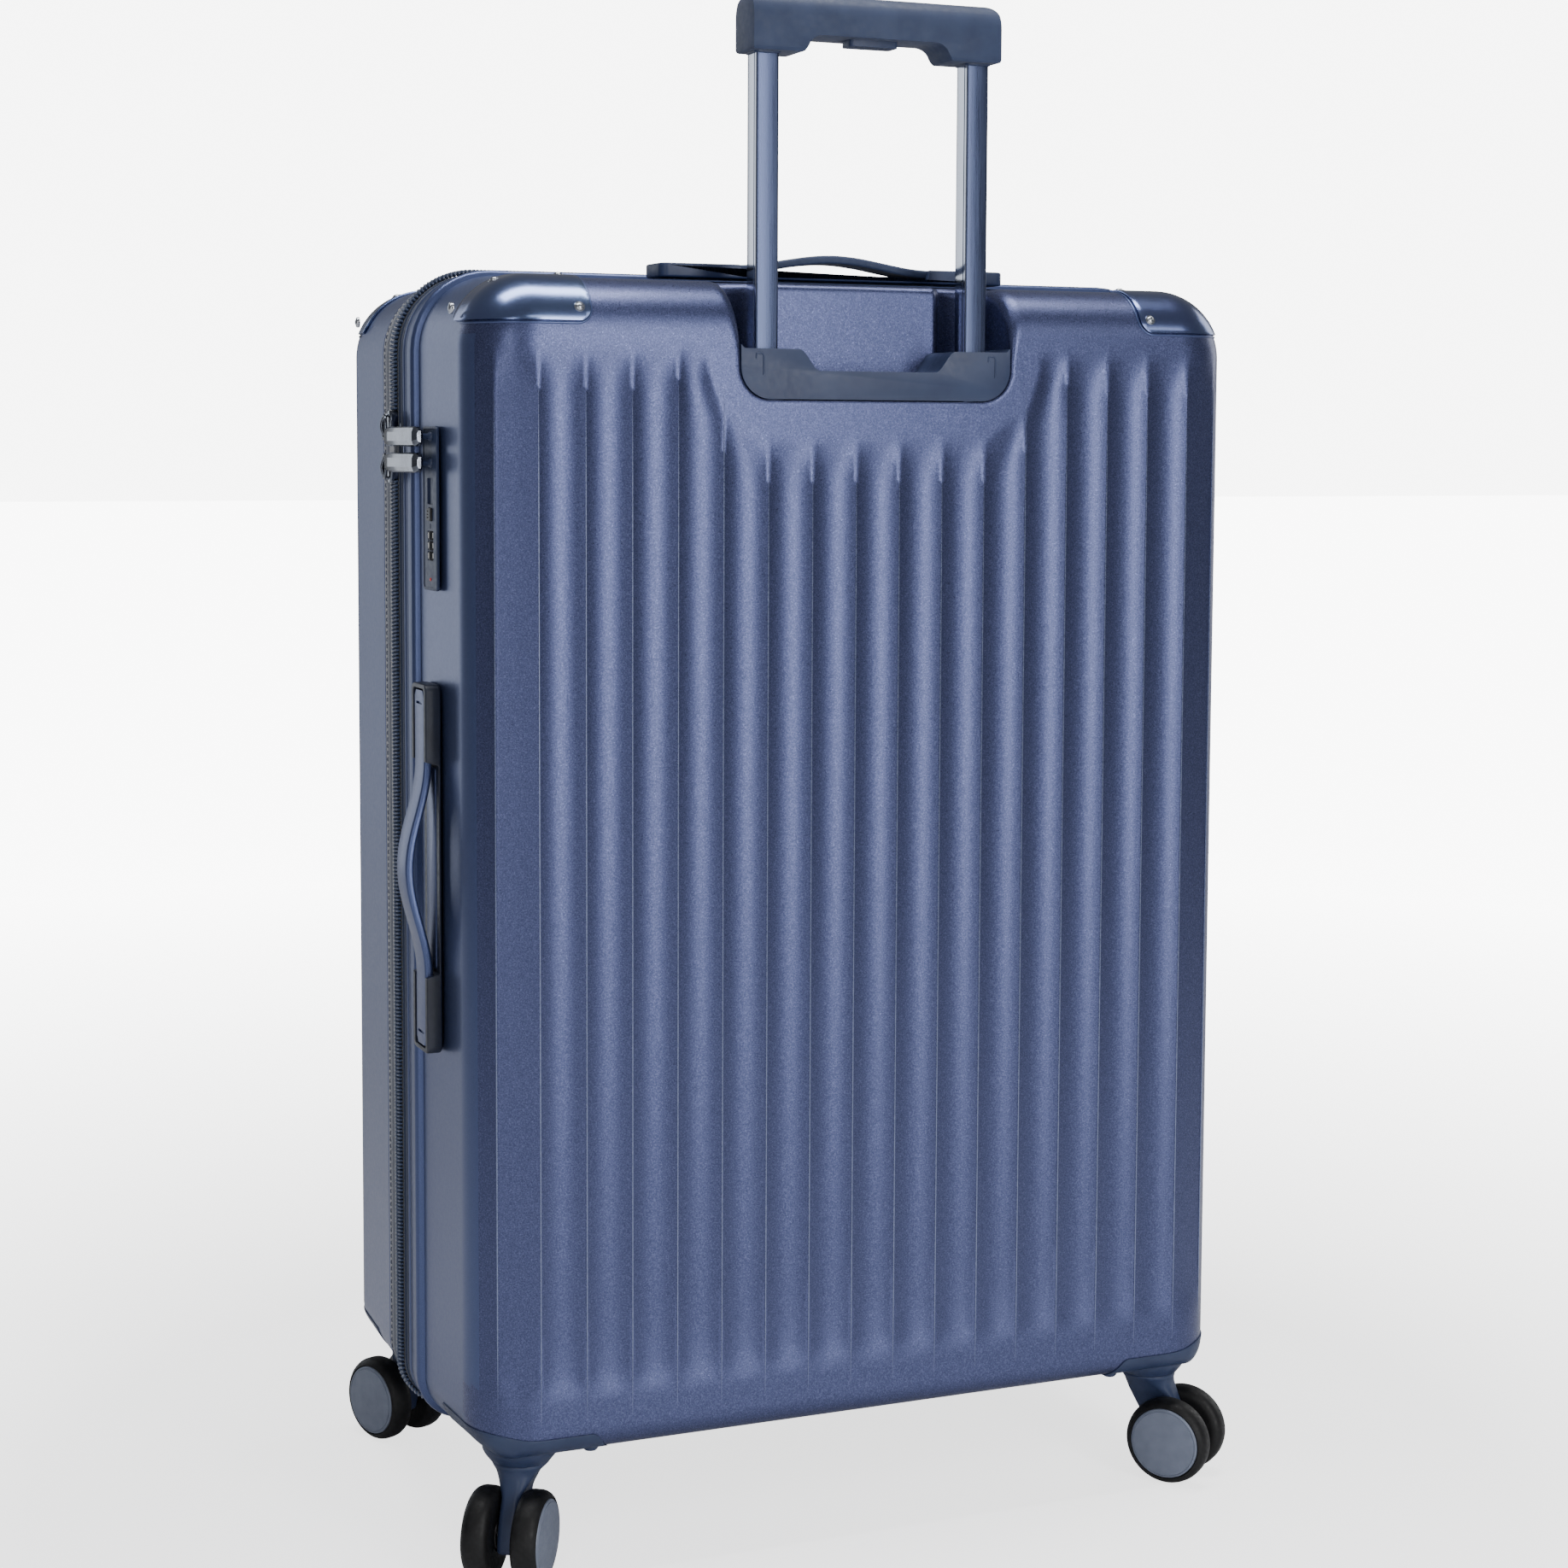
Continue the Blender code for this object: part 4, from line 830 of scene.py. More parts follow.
def guard_sheet(bm, sx, side, face_y, offset):
    """One skin of a guard as vertices, and its border loop."""
    s_values = np.concatenate([np.linspace(GUARD_X, FLAT_X, 10)[:-1], np.linspace(FLAT_X, ARC_END, 20)])
    v_values = np.linspace(0.0, 1.0, 18)
    grid_s, share = np.meshgrid(s_values, v_values)
    gx = arc_to_x(grid_s) * sx
    v_low = np.arcsin((level_row(gx[0], GUARD_Z) - ARC_Z) / EDGE_R)
    gz = ARC_Z + EDGE_R * np.sin(v_low + (math.pi / 2 - v_low) * share)
    points, nx, nz = skin_points(gx, gz, side, face_y, offset)
    verts = [[bm.verts.new(p) for p in line] for line in points.tolist()]
    for a, b in zip(verts, verts[1:]):
        bridge(bm, a, b, closed=False)
    rows, cols = len(v_values), len(s_values)
    edge = [(rows - 1, c) for c in range(cols)] + [(r, cols - 1) for r in range(rows - 2, -1, -1)]
    line = [verts[r][c] for r, c in edge]
    bands = [line]
    start = face_y - side * EDGE_R
    for reach in (0.004, 0.008, GUARD_DEPTH - EDGE_R):
        grow = DRAFT * reach / (abs(BACK_Y - BACK_RIM) - EDGE_R)
        fresh = []
        for r, c in edge:
            p = points[r, c]
            fresh.append(bm.verts.new((p[0] + nx[r, c] * grow, start - side * reach,
                                       p[2] + nz[r, c] * grow)))
        bridge(bm, bands[-1], fresh, closed=False)
        bands.append(fresh)
    border = [verts[0][c] for c in range(cols)]
    border += [band[-1] for band in bands[1:]]
    border += list(reversed(bands[-1]))[1:]
    border += [band[0] for band in reversed(bands[1:-1])]
    border += [verts[r][0] for r in range(rows - 1, 0, -1)]
    return border


def corner_tool(centre_a, centre_b, way_a, way_b, radius, low, high, axis):
    """Solid that rounds off a square corner: the part of the square outside the quarter circle."""
    points = [(centre_a + way_a * (radius + 0.01), centre_b + way_b * (radius + 0.01)),
              (centre_a + way_a * (radius + 0.01), centre_b - way_b * 0.00001),
              (centre_a + way_a * radius, centre_b - way_b * 0.00001)]
    for step in range(1, 8):
        angle = math.radians(90 * step / 8)
        points.append((centre_a + way_a * radius * math.cos(angle),
                       centre_b + way_b * radius * math.sin(angle)))
    points += [(centre_a - way_a * 0.00001, centre_b + way_b * radius),
               (centre_a - way_a * 0.00001, centre_b + way_b * (radius + 0.01))]
    return prism(points, low, high, axis)


def surface_place(x, z, side, face_y, offset=0.0):
    """Point and outward direction of the body at outline-plane coordinates on the face."""
    points, _, _ = skin_points(np.array([[x]]), np.array([[z]]), side, face_y, offset)
    other, _, _ = skin_points(np.array([[x]]), np.array([[z]]), side, face_y, offset + 0.001)
    way = (other - points)[0, 0]
    return Vector(points[0, 0]), Vector(way).normalized()


def rivet_mesh(place, way):
    dome = turned([(0.0, 0.0013), (0.0008, 0.00125), (0.0016, 0.0010), (0.0022, 0.0005), (0.0024, 0.0),
                   (0.0027, 0.0), (0.0029, 0.00025), (0.0032, 0.00025), (0.0034, -0.0002),
                   (0.0034, -0.0014),
                   (0.0, -0.0014)], 24)
    return moved(dome, Matrix.Translation(place) @ aim(way))


def build_guards():
    for depth, side, body in (("back", 1, "case"), ("front", -1, "lid")):
        face_y = BACK_Y if side > 0 else FRONT_Y
        for tag, sx in (("lock", 1), ("hinge", -1)):
            bm = bmesh.new()
            outer = guard_sheet(bm, sx, side, face_y, 0.0016)
            inner = guard_sheet(bm, sx, side, face_y, 0.0001)
            bridge(bm, outer, inner)
            bmesh.ops.recalc_face_normals(bm, faces=bm.faces[:])
            name = "corner_guard_%s_%s" % (depth, tag)
            guard = new_piece("guard_%s_%s" % (depth, tag), bm, look("guard"))
            back_end = face_y - side * GUARD_DEPTH
            y_range = sorted((face_y - side * 0.03, face_y + side * 0.01))
            carve(guard, corner_tool(sx * (GUARD_X + 0.0085), GUARD_Z + 0.0085, -sx, -1, 0.0085,
                                     y_range[0], y_range[1], "y"))
            carve(guard, corner_tool(back_end + side * 0.0080, GUARD_Z + 0.0080, -side, -1, 0.0080,
                                     min(sx * 0.245, sx * 0.27), max(sx * 0.245, sx * 0.27), "x"))
            carve(guard, corner_tool(sx * (GUARD_X + 0.0080), back_end + side * 0.0080, -sx, -side, 0.0080,
                                     0.762, 0.79, "z"))
            bevelled(guard, 0.0005, 2, 50.0)
            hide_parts(name)
            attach(guard, body)

            spots = []
            spots.append(surface_place(sx * 0.1880, 0.7508, side, face_y, 0.0016))
            top_y = face_y - side * 0.0425
            spots.append((Vector((sx * 0.1880, top_y, HIGH_Z + 0.0019)), Vector((0, 0, 1))))
            lean = math.radians(24.0)
            ring = CORNER_R + 0.0019
            spots.append((Vector((sx * (HALF_W - CORNER_R + ring * math.sin(lean)), top_y,
                                  HIGH_Z - CORNER_R + ring * math.cos(lean))),
                          Vector((sx * math.sin(lean), 0, math.cos(lean)))))
            spots.append((Vector((sx * (HALF_W + 0.0019), top_y, 0.7508)), Vector((sx, 0, 0))))
            rivets = new_piece("rivets_%s_%s" % (depth, tag), merged(*[rivet_mesh(p, w) for p, w in spots]),
                               look("rivet"))
            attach(rivets, body)
            lip = guard_lip(depth, tag, sx, side, face_y)
            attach(lip, body)


def guard_lip(depth, tag, sx, side, face_y):
    """Raised lip of the shell along the lower and inner edge of a guard."""
    r, out = 0.0085, 0.0011
    path = []
    for s in np.linspace(ARC_END - 0.001, GUARD_X + r, 26):
        path.append((s, GUARD_Z - out))
    for angle in np.radians(np.linspace(0, 90, 9))[1:-1]:
        path.append((GUARD_X + r - (r + out) * math.sin(angle), GUARD_Z + r - (r + out) * math.cos(angle)))
    for angle in np.linspace(math.asin((GUARD_Z + r - ARC_Z) / EDGE_R), math.pi / 2 - 0.01, 10):
        path.append((GUARD_X - out, ARC_Z + EDGE_R * math.sin(angle)))
    data = bpy.data.curves.new("lip", "CURVE")
    data.dimensions = "3D"
    data.bevel_depth = 0.0008
    data.bevel_resolution = 3
    spline = data.splines.new("POLY")
    spline.points.add(len(path) - 1)
    for point, (s, z) in zip(spline.points, path):
        x = float(arc_to_x(np.array([s]))[0]) * sx
        if z < GUARD_Z + r:
            z = float(level_row(np.array([x]), z)[0])
        place, _ = surface_place(x, z, side, face_y, -0.0001)
        point.co = (*place, 1.0)
    lip = bpy.data.objects.new("guard_lip_%s_%s" % (depth, tag), data)
    lip.data.materials.append(look("side"))
    bpy.context.scene.collection.objects.link(lip)
    return lip


# ---- zip and trim ---------------------------------------------------------------------------
def outline_corners():
    """Centre, start angle and radius of each corner of the outline, counter-clockwise from bottom right."""
    return [(sx * (HALF_W - radius), sz * (HALF_H - radius), start, radius)
            for sx, sz, start, radius in ((1, -1, -90, FOOT_CORNER_R), (1, 1, 0, CORNER_R),
                                          (-1, 1, 90, CORNER_R), (-1, -1, 180, FOOT_CORNER_R))]


def outline_ring(offset, y, arc_steps=10, straight=8):
    """Outline of the rim, moved outwards by offset, at depth y."""
    grow = DRAFT + offset
    points = []
    corners = outline_corners()
    for k, (cx, cz, start, radius) in enumerate(corners):
        for step in range(arc_steps + 1):
            angle = math.radians(start + 90 * step / arc_steps)
            points.append((cx + (radius + grow) * math.cos(angle), cz + (radius + grow) * math.sin(angle)))
        nx, nz, nstart, following = corners[(k + 1) % 4]
        angle = math.radians(nstart)
        target = (nx + (following + grow) * math.cos(angle), nz + (following + grow) * math.sin(angle))
        here = points[-1]
        for step in range(1, straight):
            points.append((here[0] + (target[0] - here[0]) * step / straight,
                           here[1] + (target[1] - here[1]) * step / straight))
    return [(x, y, MID_Z + z) for x, z in points]


def band_piece(name, profile, look_name, sharp=40.0):
    bm = loft([outline_ring(o, y) for o, y in profile] + [outline_ring(*profile[0])], caps=False)
    bmesh.ops.remove_doubles(bm, verts=bm.verts[:], dist=1e-7)
    bmesh.ops.recalc_face_normals(bm, faces=bm.faces[:])
    return new_piece(name, bm, look(look_name), sharp=sharp)


def along_outline(offset, pitch):
    """Evenly spaced places round the outline, with tangent and outward direction."""
    grow = DRAFT + offset
    segments = []
    corners = outline_corners()
    for k, (cx, cz, start, radius) in enumerate(corners):
        reach = radius + grow
        segments.append(("arc", reach * math.pi / 2, (cx, cz), start, reach))
        angle = math.radians(start + 90)
        out = (round(math.cos(angle)), round(math.sin(angle)))
        way = (-out[1], out[0])
        here = (cx + reach * out[0], cz + reach * out[1])
        nx, nz = corners[(k + 1) % 4][:2]
        length = abs((nx - cx) * way[0] + (nz - cz) * way[1])
        segments.append(("line", length, way, out, here))
    total = sum(segment[1] for segment in segments)
    count = int(round(total / pitch))
    places = []
    for i in range(count):
        d = total * i / count
        for kind, length, a, b, c in segments:
            if d < length:
                break
            d -= length
        if kind == "line":
            places.append((c[0] + a[0] * d, c[1] + a[1] * d + MID_Z, a, b))
        else:
            t = math.radians(b) + d / c
            out = (math.cos(t), math.sin(t))
            places.append((a[0] + c * out[0], a[1] + c * out[1] + MID_Z, (-out[1], out[0]), out))
    return places


def teeth_mesh(row, skip):
    """One row of zip coil round the case. row is +1 for the case half and -1 for the lid half."""
    rings = ((-0.0004, 0.62), (0.0006, 1.0), (0.0038, 1.0), (0.0052, 0.60))
    section = [(math.cos(a), math.sin(a)) for a in np.radians(np.arange(0, 360, 60) + 30)]
    verts, faces = [], []
    for x, z, way, out in along_outline(0.0, 0.00235):
        if skip(x, z):
            continue
        base = len(verts)
        for reach, size in rings:
            lean = 0.00075 * reach / 0.005
            for a, b in section:
                along = a * 0.00100 * size + lean
                high = 0.0045 + b * 0.00165 * size
                verts.append((x + way[0] * along + out[0] * high, ZIP_Y + row * (0.0003 + reach),
                              z + way[1] * along + out[1] * high))
        for k in range(len(rings) - 1):
            for i in range(6):
                j = (i + 1) % 6
                faces.append((base + 6 * k + i, base + 6 * k + j, base + 6 * k + 6 + j,
                              base + 6 * k + 6 + i))
        faces.append(tuple(base + i for i in range(6)))
        faces.append(tuple(base + 18 + i for i in reversed(range(6))))
    mesh = bpy.data.meshes.new("teeth")
    mesh.from_pydata(verts, [], faces)
    mesh.materials.append(look("chain"))
    mesh.shade_smooth()
    mesh.set_sharp_from_angle(angle=math.radians(60))
    return mesh


def build_zip():
    front = band_piece("zip_tape_lid", [(-0.0035, FRONT_RIM + 0.0003), (-0.0010, FRONT_RIM + 0.0004),
                                        (0.0006, FRONT_RIM + 0.0030), (0.0012, -0.0200), (0.0008, -0.0190),
                                        (0.0012, -0.0180), (0.0017, -0.0020), (0.0029, -0.0006),
                                        (0.0029, ZIP_Y - 0.0003), (0.0005, ZIP_Y - 0.0002)], "tape")
    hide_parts("zip_tape_front")
    back = band_piece("zip_tape_case",
                      [(-0.0035, 0.0147), (0.0004, 0.0146), (0.0014, 0.0136), (0.0017, 0.0112),
                                        (0.0029, 0.0104), (0.0029, ZIP_Y + 0.0003),
                                        (0.0005, ZIP_Y + 0.0002)], "tape")
    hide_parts("zip_tape_back")
    trim = band_piece("trim_band", [(-0.0035, 0.0150), (0.0007, 0.0151), (0.0019, 0.0160), (0.0023, 0.0180),
                                    (0.0022, 0.0206), (0.0016, 0.0212), (0.0016, 0.0220), (0.0022, 0.0226),
                                    (0.0026, 0.0300), (0.0027, 0.0360), (0.0029, 0.0372), (0.0038, 0.0386),
                                    (0.0040, 0.0405), (0.0034, 0.0424), (0.0020, 0.0434), (-0.0004, 0.0440),
                                    (-0.0012, 0.0448), (-0.0012, 0.0456), (-0.0035, 0.0457)], "side", 50.0)
    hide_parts("rim_trim_band")
    for piece, body, slot in ((front, "lid", "webbing"), (back, "case", "webbing"),
                              (trim, "case", "navy_plastic")):
        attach(piece, body)
    for name, row, body in (("zip_chain_case", 1, "case"), ("zip_chain_lid", -1, "lid")):
        hidden = lambda x, z: x > 0.25 and 0.6500 < z < 0.6920 or x < -0.25 and 0.238 < z < 0.602
        chain = bpy.data.objects.new(name, teeth_mesh(row, hidden))
        bpy.context.scene.collection.objects.link(chain)
        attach(chain, body)
    stitches = []
    for x, z, way, out in along_outline(0.0012, 0.0042):
        stitches.append((x, z, way, out))
    for name, y, body in (("stitches_lid", -0.0275, "lid"),):
        bm = bmesh.new()
        for x, z, way, out in stitches:
            a = Vector((x - way[0] * 0.0013, y, z - way[1] * 0.0013))
            b = Vector((x + way[0] * 0.0013, y, z + way[1] * 0.0013))
            o = Vector((out[0], 0, out[1]))
            w = Vector((0, 1, 0))
            ring = [[p + w * 0.00035 * c + o * (0.00035 * d) for c, d in ((1, 0), (0, 1), (-1, 0), (0, -1))]
                    for p in (a, (a + b) / 2 + o * 0.0003, b)]
            made = [[bm.verts.new(p) for p in line] for line in ring]
            for k in (0, 1):
                bridge(bm, made[k], made[k + 1])
        piece = new_piece(name, bm, look("thread"))
        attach(piece, body)


SLIDER_X = HALF_W + DRAFT + 0.0062 + 0.0003


def build_zip_pulls():
    for tag, z, tab_z, up in (("upper", 0.6835, 0.6770, 1), ("lower", 0.6580, 0.6615, -1)):
        outline = [(ZIP_Y - 0.0058, z - 0.0070 * up), (ZIP_Y - 0.0062, z + 0.0010 * up),
                   (ZIP_Y - 0.0035, z + 0.0092 * up),
                   (ZIP_Y + 0.0035, z + 0.0092 * up), (ZIP_Y + 0.0062, z + 0.0010 * up),
                   (ZIP_Y + 0.0058, z - 0.0070 * up)]
        body = prism(outline, SLIDER_X - 0.0050, SLIDER_X + 0.0018, "x")
        slider = new_piece("slider_" + tag, body, look("gunmetal"))
        carve(slider, block((SLIDER_X - 0.0042, ZIP_Y - 0.02, z - 0.012),
                            (SLIDER_X - 0.0008, ZIP_Y - 0.0046, z + 0.012)))
        carve(slider, block((SLIDER_X - 0.0042, ZIP_Y + 0.0046, z - 0.012),
                            (SLIDER_X - 0.0008, ZIP_Y + 0.02, z + 0.012)))
        bevelled(slider, 0.0006, 2)
        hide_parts("zip_slider_" + tag)
        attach(slider, "zip_slider_" + tag)
        bridge_points = []
        for step in range(13):
            angle = math.radians(180 * step / 12)
            bridge_points.append((SLIDER_X + 0.0012 + 0.0046 * math.sin(angle), ZIP_Y,
                                  z + 0.0066 * math.cos(angle)))
        loop = wire("slider_loop_" + tag, bridge_points, 0.0011, "gunmetal")
        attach(loop, "zip_slider_" + tag)
        ring_points = []
        for step in range(24):
            angle = math.radians(15 * step)
            ring_points.append((SLIDER_X + 0.0046 + 0.0006 * math.cos(angle),
                                ZIP_Y + 0.0022 + 0.0054 * math.cos(angle),
                                z - 0.0010 * up + 0.0072 * math.sin(angle)))
        ring = wire("pull_ring_" + tag, ring_points, 0.0009, "gunmetal", closed=True)
        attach(ring, "zip_pull_" + tag)
        tab = tab_mesh(tab_z)
        pull = new_piece("pull_" + tag, tab, look("gunmetal"), sharp=12.0)
        bevelled(pull, 0.0009, 1, 30.0, 12.0)
        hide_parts("zip_pull_" + tag)
        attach(pull, "zip_pull_" + tag)


def tab_mesh(z):
    """Faceted pull tab that reaches from the slider to the lock plate."""
    rings = []
    for y, half, low, high in ((0.0085, 0.0032, 0.0034, 0.0056), (0.0130, 0.0054, 0.0026, 0.0066),
                               (0.0240, 0.0060, 0.0024, 0.0074), (0.0420, 0.0058, 0.0018, 0.0066),
                               (0.0640, 0.0059, 0.0014, 0.0068), (0.0745, 0.0058, 0.0010, 0.0064),
                               (0.0785, 0.0042, 0.0014, 0.0050)):
        x0, x1 = SLIDER_X + low - 0.0006, SLIDER_X + high - 0.0002
        rings.append([(x0, y, z - half), (x1 - 0.0012, y, z - half), (x1, y, z - half * 0.45),
                      (x1, y, z + half * 0.45),
                      (x1 - 0.0012, y, z + half), (x0, y, z + half)])
    return loft(rings)


def wire(name, points, radius, look_name, closed=False):
    data = bpy.data.curves.new(name, "CURVE")
    data.dimensions = "3D"
    data.bevel_depth = radius
    data.bevel_resolution = 4
    data.use_fill_caps = True
    spline = data.splines.new("POLY")
    spline.points.add(len(points) - 1)
    for target, place in zip(spline.points, points):
        target.co = (*place, 1.0)
    spline.use_cyclic_u = closed
    data.materials.append(look(look_name))
    made = bpy.data.objects.new(name, data)
    bpy.context.scene.collection.objects.link(made)
    return made


# ---- trolley --------------------------------------------------------------------------------
CUP_TOP, CUP_DIP, CUP_HALF = 0.7295, 0.7168, 0.0887
GRIP_LOW_Z, GRIP_HIGH_Z, GRIP_HALF, ARCH_Z = 0.9035, 0.9385, 0.081, 0.9135
LEG_X, LEG_Y = 0.069, 0.1335


def put(obj, body, slot, *nodes):
    """Rides a piece on its body and hides the solids it stands for; its slot is not used."""
    if nodes:
        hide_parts(*nodes)
    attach(obj, body)
    return obj


def node_centre(node):
    low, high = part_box(node)
    return (low + high) / 2, (high - low) / 2


def paint_faces(obj, look_name, chosen):
    """Gives the faces that chosen() picks a second material."""
    obj.data.materials.append(look(look_name))
    index = len(obj.data.materials) - 1
    for poly in obj.data.polygons:
        if chosen(poly):
            poly.material_index = index


def tube_piece(node, body):
    """Open tube of rounded rectangular section with polished narrow sides and a shallow groove in each."""
    centre, half = node_centre(node)
    low, high = centre.z - half.z, centre.z + half.z
    skin = []
    for a, b in rounded(half.x, half.y, (0.0, 0.0), 0.0012, 5):
        skin.append((a, b))
    bore = rounded(half.x - 0.0010, half.y - 0.0010, (0.0, 0.0), 0.0006, 5)
    inset = rounded(half.x - 0.0004, half.y - 0.0004, (0.0, 0.0), 0.0010, 5)
    rings = []
    for points, z in ((bore, low), (skin, low), (skin, high - 0.0004), (inset, high), (bore, high),
                      (bore, low)):
        rings.append([(centre.x + a, centre.y + b, z) for a, b in points])
    bm = loft(rings, caps=False)
    bmesh.ops.remove_doubles(bm, verts=bm.verts[:], dist=1e-7)
    bmesh.ops.recalc_face_normals(bm, faces=bm.faces[:])
    tube = new_piece("trolley_" + node, bm, look("tube"), sharp=30.0)
    for side in (1, -1):
        groove = prism([(side * (half.x + 0.001) + centre.x, centre.y + 0.0030),
                        (side * (half.x - 0.0005) + centre.x, centre.y + 0.0036),
                        (side * (half.x - 0.0005) + centre.x, centre.y + 0.0044),
                        (side * (half.x + 0.001) + centre.x, centre.y + 0.0050)],
                       low - 0.01, high + 0.01)
        carve(tube, groove)
    tube.data.materials.clear()
    tube.data.materials.append(look("tube"))
    for poly in tube.data.polygons:
        poly.material_index = 0
    paint_faces(tube, "polished", lambda poly: abs(poly.normal.x) > 0.8)
    return put(tube, body, "trolley_tube", node)


def cup_profile():
    half = [(0.0, CUP_DIP), (0.0380, CUP_DIP)]
    for t in np.linspace(0.0, 1.0, 11)[1:]:
        half.append((0.0380 + 0.0135 * t, CUP_DIP + (CUP_TOP - CUP_DIP) * float(smooth(t))))
    half += [(0.0855, CUP_TOP), (0.0868, CUP_TOP + 0.0003), (0.0878, CUP_TOP + 0.0014),
             (CUP_HALF, CUP_TOP + 0.0022)]
    r, low = 0.0190, 0.6998
    for angle in np.radians(np.linspace(0, -90, 11)):
        half.append((CUP_HALF - r + r * math.cos(angle), low + r + r * math.sin(angle)))
    return half + [(-x, z) for x, z in reversed(half) if x > 0]


def build_cup():
    low_y, high_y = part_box("trolley_cup")[0].y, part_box("trolley_cup")[1].y
    cup = new_piece("trolley_cup_body", prism(cup_profile(), low_y, high_y, "y"), look("plastic"))
    carve(cup, prism(rounded(0.0388, (high_y - low_y) / 2 - 0.0035, (0.0, (low_y + high_y) / 2), 0.0045, 6),
                     0.7033, 0.75))
    for sx in (1, -1):
        mid_centre, mid_half = node_centre("mid_tube_" + ("lock" if sx > 0 else "hinge"))
        carve(cup, prism(rounded(mid_half.x + 0.0005, mid_half.y + 0.0005, (mid_centre.x, mid_centre.y),
                                 0.0025, 4), 0.68, 0.75))
    bevelled(cup, 0.0009, 3, 38.0)
    put(cup, "case", "navy_plastic", "trolley_cup")
    marks = []
    for x in (0.0745, -0.0785):
        path = [(x, high_y, 0.7140), (x, high_y, 0.7252), (x + 0.0006, high_y, 0.7264),
                (x + 0.0018, high_y, 0.7268),
                (x + 0.0040, high_y, 0.7268), (x + 0.0046, high_y, 0.7262), (x + 0.0048, high_y, 0.7236)]
        marks.append(wire("cup_mark_" + ("lock" if x > 0 else "hinge"), path, 0.00055, "plastic"))
    for mark in marks:
        put(mark, "case", "navy_plastic")


def grip_profile():
    half = [(0.0, ARCH_Z), (0.0360, ARCH_Z)]
    for angle in np.radians(np.linspace(0, 78, 9))[1:]:
        half.append((0.0360 + 0.0100 * math.sin(angle), ARCH_Z - 0.0078 * (1 - math.cos(angle))))
    half += [(0.0474, 0.9050), (0.0480, 0.9040), (0.0490, GRIP_LOW_Z)]
    half += [(0.0795, GRIP_LOW_Z), (0.0806, 0.9039), (GRIP_HALF, 0.9050)]
    for angle in np.radians(np.linspace(0, 90, 9)):
        half.append((GRIP_HALF - 0.0075 + 0.0075 * math.cos(angle),
                     GRIP_HIGH_Z - 0.0075 + 0.0075 * math.sin(angle)))
    return half + [(-x, z) for x, z in reversed(half) if x > 0]


def build_grip():
    low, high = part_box("trolley_grip")
    middle, half_y = (low.y + high.y) / 2, (high.y - low.y) / 2
    grip = new_piece("trolley_grip_bar", prism(grip_profile(), low.y - 0.001, high.y + 0.001, "y"),
                     look("soft"))
    section = [(middle - half_y + 0.0015, GRIP_LOW_Z - 0.001),
               (middle + half_y - 0.0015, GRIP_LOW_Z - 0.001),
               (middle + half_y, GRIP_LOW_Z + 0.0020)]
    for angle in np.radians(np.linspace(0, 180, 25)):
        section.append((middle + half_y * math.cos(angle), GRIP_HIGH_Z - 0.0150 + 0.0150 * math.sin(angle)))
    section.append((middle - half_y, GRIP_LOW_Z + 0.0020))
    carve(grip, prism(section, -0.1, 0.1, "x"), "INTERSECT")
    bevelled(grip, 0.0010, 3, 40.0)
    carve(grip, prism(rounded(0.0160, 0.0070, (0.0, LEG_Y), 0.0020), ARCH_Z - 0.01, 0.9265))
    for sx in (1, -1):
        carve(grip, prism(rounded(0.0076, 0.0079, (sx * LEG_X, LEG_Y), 0.0024), GRIP_LOW_Z - 0.01,
                          GRIP_LOW_Z + 0.0163))
    coat(grip, "soft")
    put(grip, "trolley_handle", "handle_skin", "trolley_grip")
    for tag, sx in (("lock", 1), ("hinge", -1)):
        collar = []
        for grow, z in ((0.0002, 0.9023), (0.0010, 0.9025), (0.0012, 0.9028), (0.0012, GRIP_LOW_Z + 0.0002),
                        (0.0002, GRIP_LOW_Z + 0.0002)):
            collar.append([(sx * LEG_X + a, LEG_Y + b, z) for a,
                           b in rounded(0.00725 + grow, 0.0075 + grow, (0.0, 0.0), 0.0024, 5)])
        bm = loft(collar + [collar[0]], caps=False)
        bmesh.ops.remove_doubles(bm, verts=bm.verts[:], dist=1e-7)
        bmesh.ops.recalc_face_normals(bm, faces=bm.faces[:])
        put(new_piece("leg_collar_" + tag, bm, look("plastic")), "trolley_handle", "navy_plastic")
    button = new_piece("release_button",
                       prism(rounded(0.0157, 0.0067, (0.0, LEG_Y), 0.0022), ARCH_Z - 0.0040,
                             ARCH_Z + 0.0070),
                       look("plastic"))
    for k in range(-3, 4):
        carve(button, block((k * 0.0034 - 0.0005, LEG_Y - 0.0045, ARCH_Z - 0.0060),
                            (k * 0.0034 + 0.0005, LEG_Y + 0.0045, ARCH_Z - 0.0035)))
    bevelled(button, 0.0005, 2, 40.0)
    put(button, "grip_button", "navy_plastic", "grip_button")


def build_trolley():
    for tag in ("lock", "hinge"):
        tube_piece("outer_tube_" + tag, "case")
        tube_piece("mid_tube_" + tag, "trolley_mid")
        tube_piece("inner_tube_" + tag, "trolley_handle")
    build_cup()
    build_grip()


